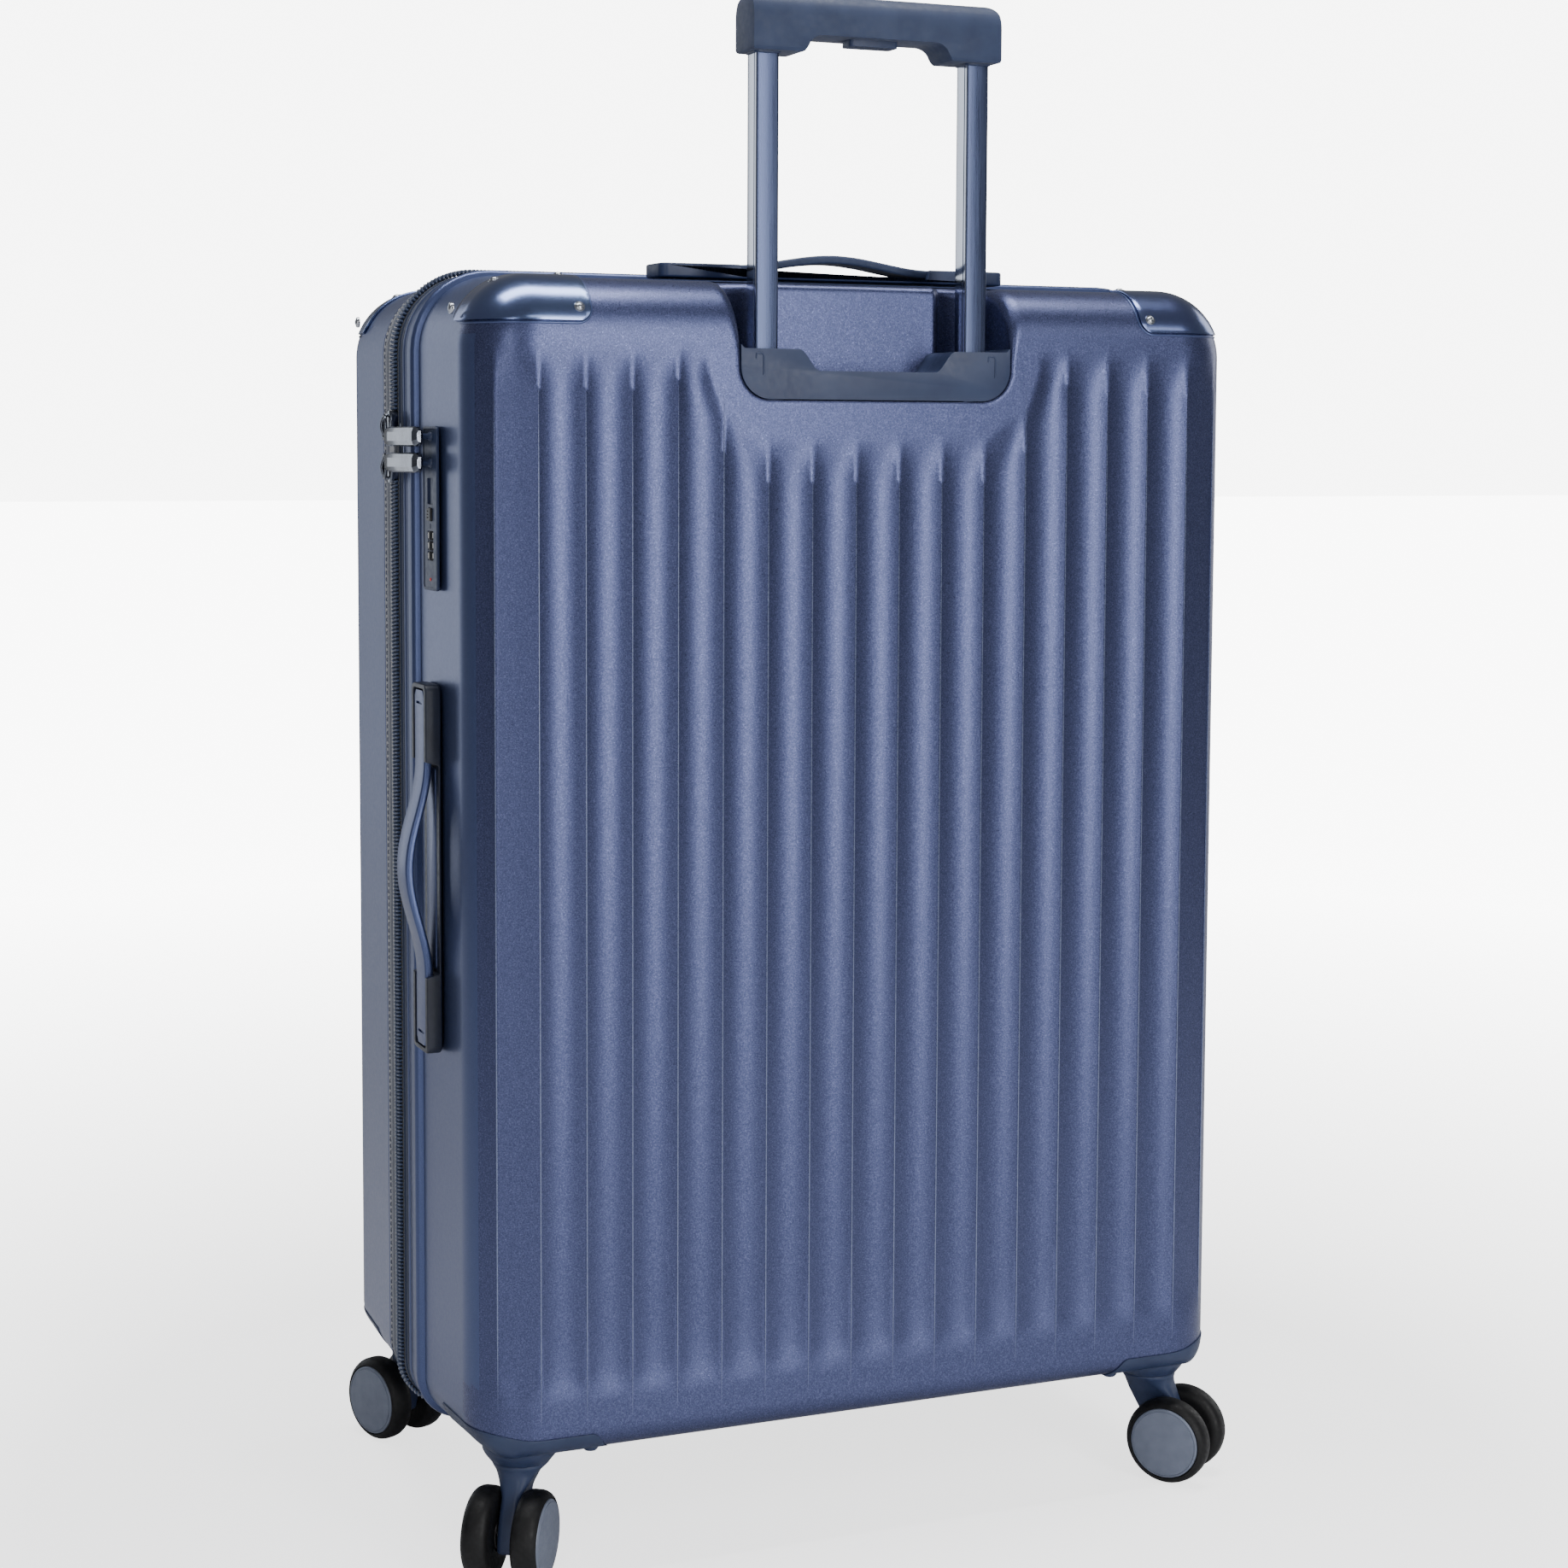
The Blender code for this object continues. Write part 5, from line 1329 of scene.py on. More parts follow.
# ---- lock -----------------------------------------------------------------------------------
def digit_ring(centre, radius):
    """Ten numbers round a dial, each a thin raised plate on its rim."""
    out = bmesh.new()
    for number in range(10):
        data = bpy.data.curves.new("digit", "FONT")
        data.body = str(number)
        data.size = 0.0046
        data.extrude = 0.00008
        data.align_x = "CENTER"
        data.align_y = "CENTER"
        text = bpy.data.objects.new("digit", data)
        bpy.context.scene.collection.objects.link(text)
        bpy.context.view_layer.update()
        mesh = bpy.data.meshes.new_from_object(text)
        angle = math.radians(36 * number)
        out_way = Vector((math.cos(angle), math.sin(angle), 0.0))
        along = Vector((-math.sin(angle), math.cos(angle), 0.0))
        place = Matrix.Translation(centre + out_way * radius)
        turn = Matrix((along, Vector((0, 0, 1)), out_way)).transposed().to_4x4()
        mesh.transform(place @ turn)
        out.from_mesh(mesh)
        bpy.data.meshes.remove(mesh)
        bpy.data.objects.remove(text, do_unlink=True)
    return out


def build_lock():
    low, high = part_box("lock_plate")
    face = high.x
    middle_y, middle_z = (low.y + high.y) / 2, (low.z + high.z) / 2
    half_z = (high.z - low.z) / 2
    plate = new_piece("lock_plate_body",
                      prism(rounded(0.0150, half_z, (middle_y, middle_z), 0.0032, 6), face - 0.0018, face,
                            "x"),
                      look("plastic"))
    bevelled(plate, 0.0005, 2, 50.0)
    carve(plate, prism(rounded(0.0134, half_z - 0.0016, (middle_y, middle_z), 0.0022, 6), face - 0.0004,
                       face + 0.01, "x"))
    carve(plate, prism(rounded(0.0062, 0.0078, (middle_y, 0.6447), 0.0008, 3), face - 0.0016, face + 0.01,
                       "x"))
    carve(plate, prism(rounded(0.0042, 0.0040, (middle_y, 0.6310), 0.0005, 2), face - 0.0060, face + 0.01,
                       "x"))
    carve(plate, prism(rounded(0.0009, 0.0016, (middle_y, 0.6240), 0.0004, 2), face - 0.0015, face + 0.01,
                       "x"))
    dials = []
    for number in (1, 2, 3):
        centre, half = node_centre("lock_dial_%d" % number)
        dials.append((number, centre, half))
        carve(plate, prism(rounded(0.0060, half.z + 0.0002, (middle_y, centre.z), 0.0004, 2), face - 0.0060,
                           face + 0.01, "x"))
    coat(plate, "plastic")
    put(plate, "case", "navy_plastic", "lock_plate")
    case_box = new_piece("lock_case",
                         prism(rounded(0.0108, 0.0300, (middle_y, 0.6195), 0.002, 3), 0.2372, face - 0.0085,
                               "x"), look("plastic"))
    carve(case_box, block((0.2416, middle_y - 0.0080, 0.6035), (0.2600, middle_y + 0.0080, 0.6215)))
    bevelled(case_box, 0.0006, 2, 40.0)
    put(case_box, "case", "navy_plastic")
    for number, centre, half in dials:
        r = half.x
        profile = [(0.0, -half.z), (r - 0.0008, -half.z), (r - 0.0002, -half.z + 0.0003),
                   (r, -half.z + 0.0008),
                   (r, half.z - 0.0008), (r - 0.0002, half.z - 0.0003), (r - 0.0008, half.z), (0.0, half.z)]
        disc = new_piece("dial_%d" % number, moved(turned(profile, 60), Matrix.Translation(centre)),
                         look("dial"))
        notches = bmesh.new()
        for k in range(10):
            angle = math.radians(36 * k + 18)
            notch = moved(block((r - 0.00045, -0.0004, -0.01), (r + 0.001, 0.0004, 0.01)),
                          Matrix.Translation(centre) @ Matrix.Rotation(angle, 4, "Z"))
            notches = merged(notches, notch)
        carve(disc, notches)
        coat(disc, "dial")
        body = "lock_dial_%d" % number
        put(disc, body, "dial", body)
        digits = new_piece("dial_numbers_%d" % number, digit_ring(centre, r), look("digit"), smooth=False)
        put(digits, body, "dial")
    centre, half = node_centre("lock_button")
    button = new_piece("lock_release",
                       prism(rounded(half.y, half.z, (centre.y, centre.z), 0.0006, 3), centre.x - half.x,
                             centre.x + half.x, "x"),
                       look("dial"))
    for k in (-1, 0, 1):
        carve(button, block((centre.x + half.x - 0.0004, centre.y - 0.0026, centre.z + k * 0.0018 - 0.0004),
                            (centre.x + half.x + 0.001, centre.y + 0.0026, centre.z + k * 0.0018 + 0.0004)))
    bevelled(button, 0.0003, 2, 40.0)
    coat(button, "dial")
    put(button, "lock_button", "dial", "lock_button")
    dot = moved(turned([(0.0, 0.0006), (0.0007, 0.0005), (0.0011, 0.0), (0.0011, -0.0006), (0.0, -0.0006)],
                       20),
                Matrix.Translation((face - 0.0003, middle_y, 0.5925)) @ aim((1, 0, 0)))
    put(new_piece("lock_indicator", dot, look("red")), "case", "dial")
    posts = []
    for tag in ("upper", "lower"):
        centre, half = node_centre("zip_pull_" + tag)
        posts.append(moved(turned([(0.0, 0.0), (0.0030, 0.0), (0.0026, 0.0012), (0.0017, 0.0020),
                                   (0.0017, 0.0050), (0.0021, 0.0056), (0.0, 0.0058)], 20),
                           Matrix.Translation((face - 0.0006, 0.0745, centre.z)) @ aim((1, 0, 0))))
    put(new_piece("pull_dock_posts", merged(*posts), look("plastic")), "case", "navy_plastic")


# ---- handles --------------------------------------------------------------------------------
def bowed_strap(half_length, end_flat, rise, half_w, place):
    """Strap with flat ends and a smooth bow; its long edges are rounded and a rib runs down the middle."""
    thickness = 0.0050
    rings = []
    for along in np.linspace(-half_length, half_length, 61):
        end = np.clip((half_length - abs(along)) / 0.0030, 0.0, 1.0)
        squeeze = math.sqrt(1 - (1 - end) ** 2) if end < 1 else 1.0
        share = 0.5 + 0.5 * math.cos(math.pi * float(np.clip(along / (half_length - end_flat), -1, 1)))
        width = half_w - 0.0030 * (1 - squeeze)
        bulge = 0.0004 * share
        ring = []
        for a, b in rounded(width, thickness / 2, (0.0, thickness / 2), 0.0017, 5):
            crown = bulge * (1 - (a / half_w) ** 2) if b > thickness / 2 else 0.0
            ring.append(place(float(along), a, rise * share + b + crown))
        rings.append(ring)
    return loft(rings)


def build_side_handle():
    low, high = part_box("side_handle_base")
    middle_y, middle_z = (low.y + high.y) / 2, (low.z + high.z) / 2
    half_y, half_z = (high.y - low.y) / 2, (high.z - low.z) / 2
    base = new_piece("side_handle_mount",
                     prism(rounded(half_y, half_z, (middle_y, middle_z), 0.0055, 6), low.x, high.x, "x"),
                     look("block"))
    bevelled(base, 0.0013, 3, 45.0)
    inner = half_z - 0.0480
    hollow = [(middle_z - inner, low.x + 0.0016), (middle_z - inner - 0.0025, high.x + 0.001),
              (middle_z + inner + 0.0025, high.x + 0.001),
              (middle_z + inner, low.x + 0.0016)]
    carve(base, prism([(b, a) for a, b in hollow], middle_y - 0.03, middle_y + 0.03, "y"))
    carve(base, prism(rounded(0.0112, half_z - 0.0028, (middle_y, middle_z), 0.0024, 5), low.x + 0.0035,
                      high.x + 0.02, "x"))
    coat(base, "block")
    bevelled(base, 0.0003, 1, 40.0)
    put(base, "case", "navy_plastic", "side_handle_base")
    plate = new_piece("side_handle_backplate",
                      prism(rounded(0.0096, inner - 0.0020, (middle_y, middle_z), 0.0020, 4),
                                                    low.x + 0.0013, low.x + 0.0021, "x"), look("side"))
    bevelled(plate, 0.0003, 2, 40.0)
    put(plate, "case", "navy_plastic")
    strap_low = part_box("side_handle_strap")[0]
    place = lambda along, across, out: (strap_low.x + out, middle_y + across, middle_z + along)
    strap = new_piece("side_handle_grip", bowed_strap(half_z - 0.0040, 0.0420, 0.0115, 0.0108, place),
                      look("side"))
    for end in (1, -1):
        z = middle_z + end * (half_z - 0.0115)
        carve(strap, prism(rounded(0.0062, 0.0008, (middle_y, z), 0.0006, 3), strap_low.x + 0.0038,
                           strap_low.x + 0.02, "x"))
    coat(strap, "side")
    put(strap, "side_handle_strap", "handle_skin", "side_handle_strap")


def build_top_handle():
    low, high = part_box("top_handle_base")
    middle_y, half_x, half_y = (low.y + high.y) / 2, (high.x - low.x) / 2, (high.y - low.y) / 2
    base = new_piece("top_handle_mount",
                     prism(rounded(half_x, half_y, (0.0, middle_y), 0.0055, 6), low.z, high.z),
                     look("plastic"))
    bevelled(base, 0.0013, 3, 45.0)
    inner = half_x - 0.0540
    carve(base, prism([(-inner, low.z + 0.0014), (-inner - 0.0025, high.z + 0.001),
                       (inner + 0.0025, high.z + 0.001), (inner, low.z + 0.0014)],
                      middle_y - 0.03, middle_y + 0.03, "y"))
    carve(base, prism(rounded(half_x - 0.0028, 0.0112, (0.0, middle_y), 0.0024, 5), low.z + 0.0030,
                      high.z + 0.02))
    coat(base, "plastic")
    bevelled(base, 0.0003, 1, 40.0)
    put(base, "case", "navy_plastic", "top_handle_base")
    strap_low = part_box("top_handle_strap")[0]
    place = lambda along, across, out: (along, middle_y + across, strap_low.z + out)
    strap = new_piece("top_handle_grip", bowed_strap(half_x - 0.0040, 0.0440, 0.0075, 0.0108, place),
                      look("soft"))
    for end in (1, -1):
        carve(strap, prism(rounded(0.0008, 0.0062, (end * (half_x - 0.0115), middle_y), 0.0006, 3),
                           strap_low.z + 0.0038, strap_low.z + 0.02))
    coat(strap, "soft")
    put(strap, "top_handle_strap", "handle_skin", "top_handle_strap")


# ---- casters --------------------------------------------------------------------------------
WHEEL_R, WHEEL_W, STEM_T, TRAIL = 0.0275, 0.0184, 0.0115, 0.020
CORNER_TAGS = (("back_lock", 1, 1), ("back_hinge", -1, 1), ("front_lock", 1, -1), ("front_hinge", -1, -1))


def joint_named(name):
    return next(j for j in frame["record"]["behaviour"]["joints"] if j["name"] == name)


def caster_frame(tag):
    """The caster's own frame at rest: origin on the swivel axis at the ground, +X towards the wheels."""
    pivot = Vector(joint_named("swivel_" + tag)["pos_m"])
    axle = Vector(joint_named("spin_a_" + tag)["pos_m"])
    way = axle - pivot
    return Matrix.Translation((pivot.x, pivot.y, 0.0)) @ Matrix.Rotation(math.atan2(way.y, way.x), 4, "Z")


def fork_sections():
    """Rings from the round neck down to the flat stem at the axle."""
    rings = []
    stations = ((0.0671, 0.0000, 0.0172, 0.0172, 1.0), (0.0662, 0.0000, 0.0176, 0.0174, 1.0),
                (0.0648, 0.0002, 0.0170, 0.0160, 0.95),
                (0.0630, 0.0006, 0.0162, 0.0140, 0.9), (0.0608, 0.0012, 0.0156, 0.0120, 0.75),
                (0.0580, 0.0022, 0.0152, 0.0100, 0.55), (0.0550, 0.0034, 0.0152, 0.0084, 0.4),
                (0.0520, 0.0048, 0.0152, 0.0068, 0.35), (0.0490, 0.0062, 0.0152, 0.00575, 0.3),
                (0.0460, 0.0078, 0.0150, 0.00575, 0.3),
                (0.0420, 0.0100, 0.0148, 0.00575, 0.3), (0.0380, 0.0122, 0.0144, 0.00575, 0.3),
                (0.0340, 0.0140, 0.0140, 0.00575, 0.3),
                (0.0300, 0.0156, 0.0136, 0.00575, 0.3), (0.0260, 0.0168, 0.0132, 0.00575, 0.3),
                (0.0225, 0.0174, 0.0128, 0.00575, 0.3),
                (0.0200, 0.0176, 0.0124, 0.00575, 0.3), (0.0187, 0.0176, 0.0118, 0.0054, 0.3),
                (0.0181, 0.0176, 0.0106, 0.0046, 0.3))
    for z, x0, half_x, half_y, blend in stations:
        ring = []
        radius = min(half_x, half_y)
        corner = radius * (0.35 + 0.65 * blend) * 0.999
        for a, b in rounded(half_x, half_y, (x0, 0.0), corner, 8):
            ring.append((a, b, z))
        rings.append(ring)
    return loft(rings)


def wheel_profile():
    r, w = WHEEL_R, WHEEL_W
    tyre = [(0.0105, 0.0008), (r - 0.0060, 0.0008), (r - 0.0034, 0.0014), (r - 0.0012, 0.0030),
            (r - 0.0002, 0.0052), (r, 0.0070),
            (r, w - 0.0072), (r - 0.0004, w - 0.0052), (r - 0.0013, w - 0.0034), (r - 0.0026, w - 0.0020),
            (r - 0.0040, w - 0.0012),
            (r - 0.0044, w - 0.0014), (r - 0.0046, w - 0.0030), (0.0105, w - 0.0030)]
    return tyre


def ring_solid(profile, steps=72):
    """Revolves a closed section about Z."""
    rings = []
    for k in range(steps):
        angle = 2 * math.pi * k / steps
        rings.append([(a * math.cos(angle), a * math.sin(angle), b) for a, b in profile])
    bm = loft(rings + [rings[0]], caps=False)
    bmesh.ops.remove_doubles(bm, verts=bm.verts[:], dist=1e-7)
    bmesh.ops.recalc_face_normals(bm, faces=bm.faces[:])
    return bm


def cap_mesh():
    """Slightly domed cap with a thin groove near its rim."""
    r, w = 0.0226, WHEEL_W
    profile = [(0.0, w + 0.0001), (0.0060, w + 0.00005), (0.0130, w - 0.0001), (0.0190, w - 0.0004),
               (0.0206, w - 0.0005),
               (0.0208, w - 0.0009), (0.0212, w - 0.0009), (0.0214, w - 0.0006), (r - 0.0004, w - 0.0009),
               (r, w - 0.0014),
               (r, w - 0.0060), (0.0, w - 0.0060)]
    return turned(profile, 72)


def inner_hub():
    """Spoked inner side of a wheel: hub boss, rim and six ribs."""
    hub = ring_solid([(0.0034, 0.0004), (0.0086, 0.0004), (0.0090, 0.0010), (0.0090, 0.0120),
                      (0.0034, 0.0120)], 48)
    disc = ring_solid([(0.0088, 0.0050), (0.0200, 0.0050), (0.0208, 0.0016), (0.0212, 0.0016),
                       (0.0212, 0.0120), (0.0088, 0.0120)], 48)
    pieces = [hub, disc]
    for k in range(6):
        rib = moved(block((0.0085, -0.0008, 0.0022), (0.0206, 0.0008, 0.0060)),
                    Matrix.Rotation(math.radians(60 * k), 4, "Z"))
        pieces.append(rib)
    return merged(*pieces)


def housing_top(x):
    return 0.0880 + 0.0050 * float(smooth((abs(x) - 0.2100) / 0.0400))


def build_housing(tag, sx, sy):
    """Moulded corner cap that carries the caster, flush with the shell, with a wavy upper edge."""
    face_y = BACK_Y if sy > 0 else FRONT_Y
    rim_y = BACK_RIM if sy > 0 else FRONT_RIM
    cap = new_piece("caster_corner_" + tag, skin_mesh(sy, face_y, rim_y, fluted=False, offset=0.0007),
                    look("plastic"))
    inner_x, inner_y = 0.1690, 0.0770
    bend = 0.0140
    points = [(sx * inner_x, sy * 0.17)]
    for angle in np.radians(np.linspace(180, 270, 9)):
        points.append((sx * (inner_x + bend + bend * math.cos(angle)),
                       sy * (inner_y + bend + bend * math.sin(angle))))
    points += [(sx * 0.27, sy * inner_y), (sx * 0.27, sy * 0.17)]
    carve(cap, prism(points, 0.0740, 0.1000), "INTERSECT")
    wave = []
    for x in np.linspace(0.16, 0.28, 41):
        wave.append((sx * x, housing_top(x) - 0.0120 * (1 - float(smooth((x - inner_x) / 0.012)))))
    wave += [(sx * 0.28, 0.12), (sx * 0.16, 0.12)]
    carve(cap, prism(wave, min(0, sy * 0.2), max(0, sy * 0.2), "y"))
    hollow = [(0.1500, 0.0600), (FLAT_X + 0.0290, 0.0600)]
    for angle in np.radians(np.linspace(0, 90, 9)):
        hollow.append((FLAT_X + 0.0290 * math.cos(angle), abs(face_y) - EDGE_R + 0.0290 * math.sin(angle)))
    hollow.append((0.1500, abs(face_y) - EDGE_R + 0.0290))
    carve(cap, prism([(sx * x, sy * y) for x, y in hollow], 0.0822, 0.1000))
    coat(cap, "plastic")
    bevelled(cap, 0.0007, 2, 45.0)
    put(cap, "case" if sy > 0 else "lid", "navy_plastic", "caster_housing_" + tag)
    pivot = Vector(joint_named("swivel_" + tag)["pos_m"])
    place = Matrix.Translation((pivot.x, pivot.y, 0.0))
    boss = turned([(0.0, 0.0675), (0.0180, 0.0675), (0.0186, 0.0679), (0.0196, 0.0692), (0.0208, 0.0707),
                   (0.0220, 0.0724),
                   (0.0230, 0.0745), (0.0235, 0.0770), (0.0236, 0.0790), (0.0, 0.0790)], 64)
    foot = loft([[(sx * 0.1775 + 0.0048 * k * math.cos(a), sy * 0.1330 + 0.0048 * k * math.sin(a), z)
                  for a in np.radians(np.arange(0, 360, 20))]
                 for k, z in ((0.45, 0.0722), (0.75, 0.0726), (0.95, 0.0736), (1.0, 0.0750),
                              (1.0, 0.0790))])
    base = new_piece("caster_boss_" + tag, merged(moved(boss, place), foot), look("plastic"))
    put(base, "case" if sy > 0 else "lid", "navy_plastic")


def build_casters():
    for tag, sx, sy in CORNER_TAGS:
        build_housing(tag, sx, sy)
        local = caster_frame(tag)
        body = "caster_" + tag
        fork = new_piece("fork_" + tag, moved(fork_sections(), local), look("plastic"), sharp=50.0)
        put(fork, body, "navy_plastic", "caster_fork_" + tag)
        for name, side in (("a", 1), ("b", -1)):
            turn = Matrix.Translation((TRAIL, side * (STEM_T / 2 + 0.0003),
                                       WHEEL_R)) @ Matrix.Rotation(math.radians(-90 * side), 4, "X")
            wheel = "wheel_%s_%s" % (name, tag)
            tyre = new_piece("tyre_%s_%s" % (name, tag), moved(ring_solid(wheel_profile()), local @ turn),
                             look("rubber"), sharp=40.0)
            put(tyre, wheel, "tyre", wheel)
            cap = new_piece("cap_%s_%s" % (name, tag), moved(cap_mesh(), local @ turn), look("cap"),
                            sharp=25.0)
            put(cap, wheel, "wheel_cap")
            hub = new_piece("hub_%s_%s" % (name, tag), moved(inner_hub(), local @ turn), look("dial"),
                            sharp=30.0)
            put(hub, wheel, "tyre")


# ---- inside ---------------------------------------------------------------------------------
LINING_INSET = 0.0078


def lining_sheet(side, floor_y, rim_y):
    """Open tray of cloth as one sheet: floor, rounded edges and walls up to the rim."""
    face_y = floor_y + side * LINING_INSET
    s = np.linspace(-ARC_END, ARC_END, 79)
    steps = np.linspace(0.0, math.pi / 2, 8)
    rows = np.concatenate([LOW_Z + EDGE_R - EDGE_R * np.sin(steps[::-1]),
                           np.linspace(LOW_Z + EDGE_R + 0.008, HIGH_Z - EDGE_R - 0.008, 78),
                           HIGH_Z - EDGE_R + EDGE_R * np.sin(steps)])
    grid_s, grid_z = np.meshgrid(s, rows)
    points = skin_points(arc_to_x(grid_s), grid_z, side, face_y, -LINING_INSET)[0]
    bm = bmesh.new()
    verts = [[bm.verts.new(p) for p in line] for line in points.tolist()]
    for a, b in zip(verts, verts[1:]):
        bridge(bm, a, b, closed=False)
    loop = grid_border(len(rows), len(s))
    ring = [verts[i][j] for i, j in loop]
    base = np.array([points[i, j] for i, j in loop])
    start = face_y - side * EDGE_R
    count = max(3, int(abs(rim_y - start) / 0.009))
    for k in range(1, count + 1):
        place = base.copy()
        place[:, 1] = start + (rim_y - start) * k / count
        fresh = [bm.verts.new(p) for p in place.tolist()]
        bridge(bm, ring, fresh)
        ring = fresh
    bmesh.ops.recalc_face_normals(bm, faces=bm.faces[:])
    return bm


def settle_cloth(obj, pinned, pressure, shrink, cap, frames=14):
    """Cloth simulation of a sheet or closed pad, applied to the mesh with its movement capped."""
    rest = np.array([v.co[:] for v in obj.data.vertices])
    group = obj.vertex_groups.new(name="pinned")
    for vertex in obj.data.vertices:
        weight = pinned(vertex.co)
        if weight > 0:
            group.add([vertex.index], weight, "REPLACE")
    cloth = obj.modifiers.new("cloth", "CLOTH")
    settings = cloth.settings
    settings.quality = 4
    settings.mass = 0.2
    settings.tension_stiffness = 12.0
    settings.compression_stiffness = 12.0
    settings.shear_stiffness = 4.0
    settings.bending_stiffness = 0.25
    settings.air_damping = 4.0
    settings.vertex_group_mass = "pinned"
    settings.shrink_min = shrink
    settings.use_pressure = pressure > 0
    settings.uniform_pressure_force = pressure
    settings.effector_weights.gravity = 0.0
    cloth.collision_settings.use_collision = False
    scene = bpy.context.scene
    for step in range(1, frames + 1):
        scene.frame_set(step)
    graph = bpy.context.evaluated_depsgraph_get()
    done = obj.evaluated_get(graph).to_mesh()
    moved_to = np.array([v.co[:] for v in done.vertices])
    obj.evaluated_get(graph).to_mesh_clear()
    obj.modifiers.clear()
    scene.frame_set(1)
    shift = moved_to - rest
    length = np.linalg.norm(shift, axis=1, keepdims=True)
    shift *= np.minimum(1.0, cap / np.maximum(length, 1e-9))
    obj.data.vertices.foreach_set("co", (rest + shift).ravel())
    obj.data.update()
    obj.vertex_groups.clear()
    return obj


def give_thickness(obj, thickness, levels=1):
    solid = obj.modifiers.new("thickness", "SOLIDIFY")
    solid.thickness = thickness
    solid.offset = 1.0
    if levels:
        finer = obj.modifiers.new("finer", "SUBSURF")
        finer.levels = levels
        finer.render_levels = levels
    return apply_modifiers(obj, 60.0)


SEAM_X = (-0.150, 0.150)
PAD_RIBS = (-0.121, 0.0, 0.121)
STRAP_TILT = math.atan2(0.200, 0.2405)
# Each row has the piece's name, its node, its body, the side of its face, and its floor's and rim's Y.
LININGS = (("lining_case", "back_lining", "case", 1, 0.1055, 0.0150),
           ("lining_lid", "front_lining", "lid", -1, -0.1335, -0.0030))


def build_linings():
    for name, node, body, side, floor_y, rim_y in LININGS:
        lining = new_piece(name, lining_sheet(side, floor_y, rim_y), look("lining"), sharp=70.0)

        def pinned(co, rim=rim_y, floor=floor_y):
            on_rim = abs(co.y - rim) < 0.004
            on_seam = min(abs(co.x - seam) for seam in SEAM_X) < 0.0035 and abs(co.y - floor) < 0.012
            across = abs(co.z - MID_Z - 0.190) < 0.0050 and abs(co.y - floor) < 0.012
            return 1.0 if on_rim or on_seam or across else 0.0

        settle_cloth(lining, pinned, 0.0, -0.045, 0.0045)
        give_thickness(lining, 0.0006, 0)
        put(lining, body, "lining", node)
        inset = -(LINING_INSET + DRAFT + 0.0004)
        path = [(x, y, z) for x, y, z in outline_ring(inset, rim_y)]
        put(wire("lining_piping_" + body, path, 0.0013, "thread", closed=True), body, "webbing")
        for number, seam in enumerate(SEAM_X):
            put(seam_piece("lining_seam_%s_%d" % (body, number),
                           [(seam, floor_y - side * 0.0006, z) for z in np.arange(0.125, 0.722, 0.0045)],
                           Vector((0, 0, 1)), Vector((0, 1, 0))), body, "lining")
        put(seam_piece("lining_zip_%s" % body,
                       [(x, floor_y - side * 0.0010, MID_Z + 0.190)
                        for x in np.arange(-0.142, 0.143, 0.0030)],
                       Vector((1, 0, 0)), Vector((0, 1, 0)), 0.0011, 0.0011), body, "lining")


def seam_piece(name, places, along, out, half=0.0015, radius=0.00045):
    """Row of short rounded stitches."""
    bm = bmesh.new()
    across = along.cross(out)
    for place in places:
        middle = Vector(place)
        rings = []
        for t, size, rise in ((-1.0, 0.35, 0.0), (-0.6, 1.0, 0.3), (0.6, 1.0, 0.3), (1.0, 0.35, 0.0)):
            ring = []
            for a in np.radians(np.arange(0, 360, 60)):
                lift = out * (radius * (size * math.sin(a) + rise * 0.2))
                ring.append(bm.verts.new(middle + along * (half * t) + lift
                                         + across * (radius * size * math.cos(a))))
            rings.append(ring)
        for a, b in zip(rings, rings[1:]):
            bridge(bm, a, b)
        bm.faces.new(rings[0])
        bm.faces.new(rings[-1])
    bmesh.ops.recalc_face_normals(bm, faces=bm.faces[:])
    return new_piece(name, bm, look("thread"))


def divider_grid(cells_x, cells_z, half_w, half_h, corner):
    """Grid in the outline plane, squeezed into the rounded outline."""
    gx, gz = np.meshgrid(np.linspace(-half_w, half_w, cells_x + 1),
                         np.linspace(-half_h, half_h, cells_z + 1))
    ax, az = np.abs(gx), np.abs(gz)
    p, q = (ax - (half_w - corner)) / corner, (az - (half_h - corner)) / corner
    inside = (p > 1e-9) & (q > 1e-9)
    rho = np.maximum(np.maximum(p, q), 1e-9)
    angle = np.where(p >= q, (math.pi / 4) * q / rho, math.pi / 2 - (math.pi / 4) * p / rho)
    x = np.where(inside, half_w - corner + corner * rho * np.cos(angle), ax)
    z = np.where(inside, half_h - corner + corner * rho * np.sin(angle), az)
    return x * np.sign(gx), z * np.sign(gz) + MID_Z


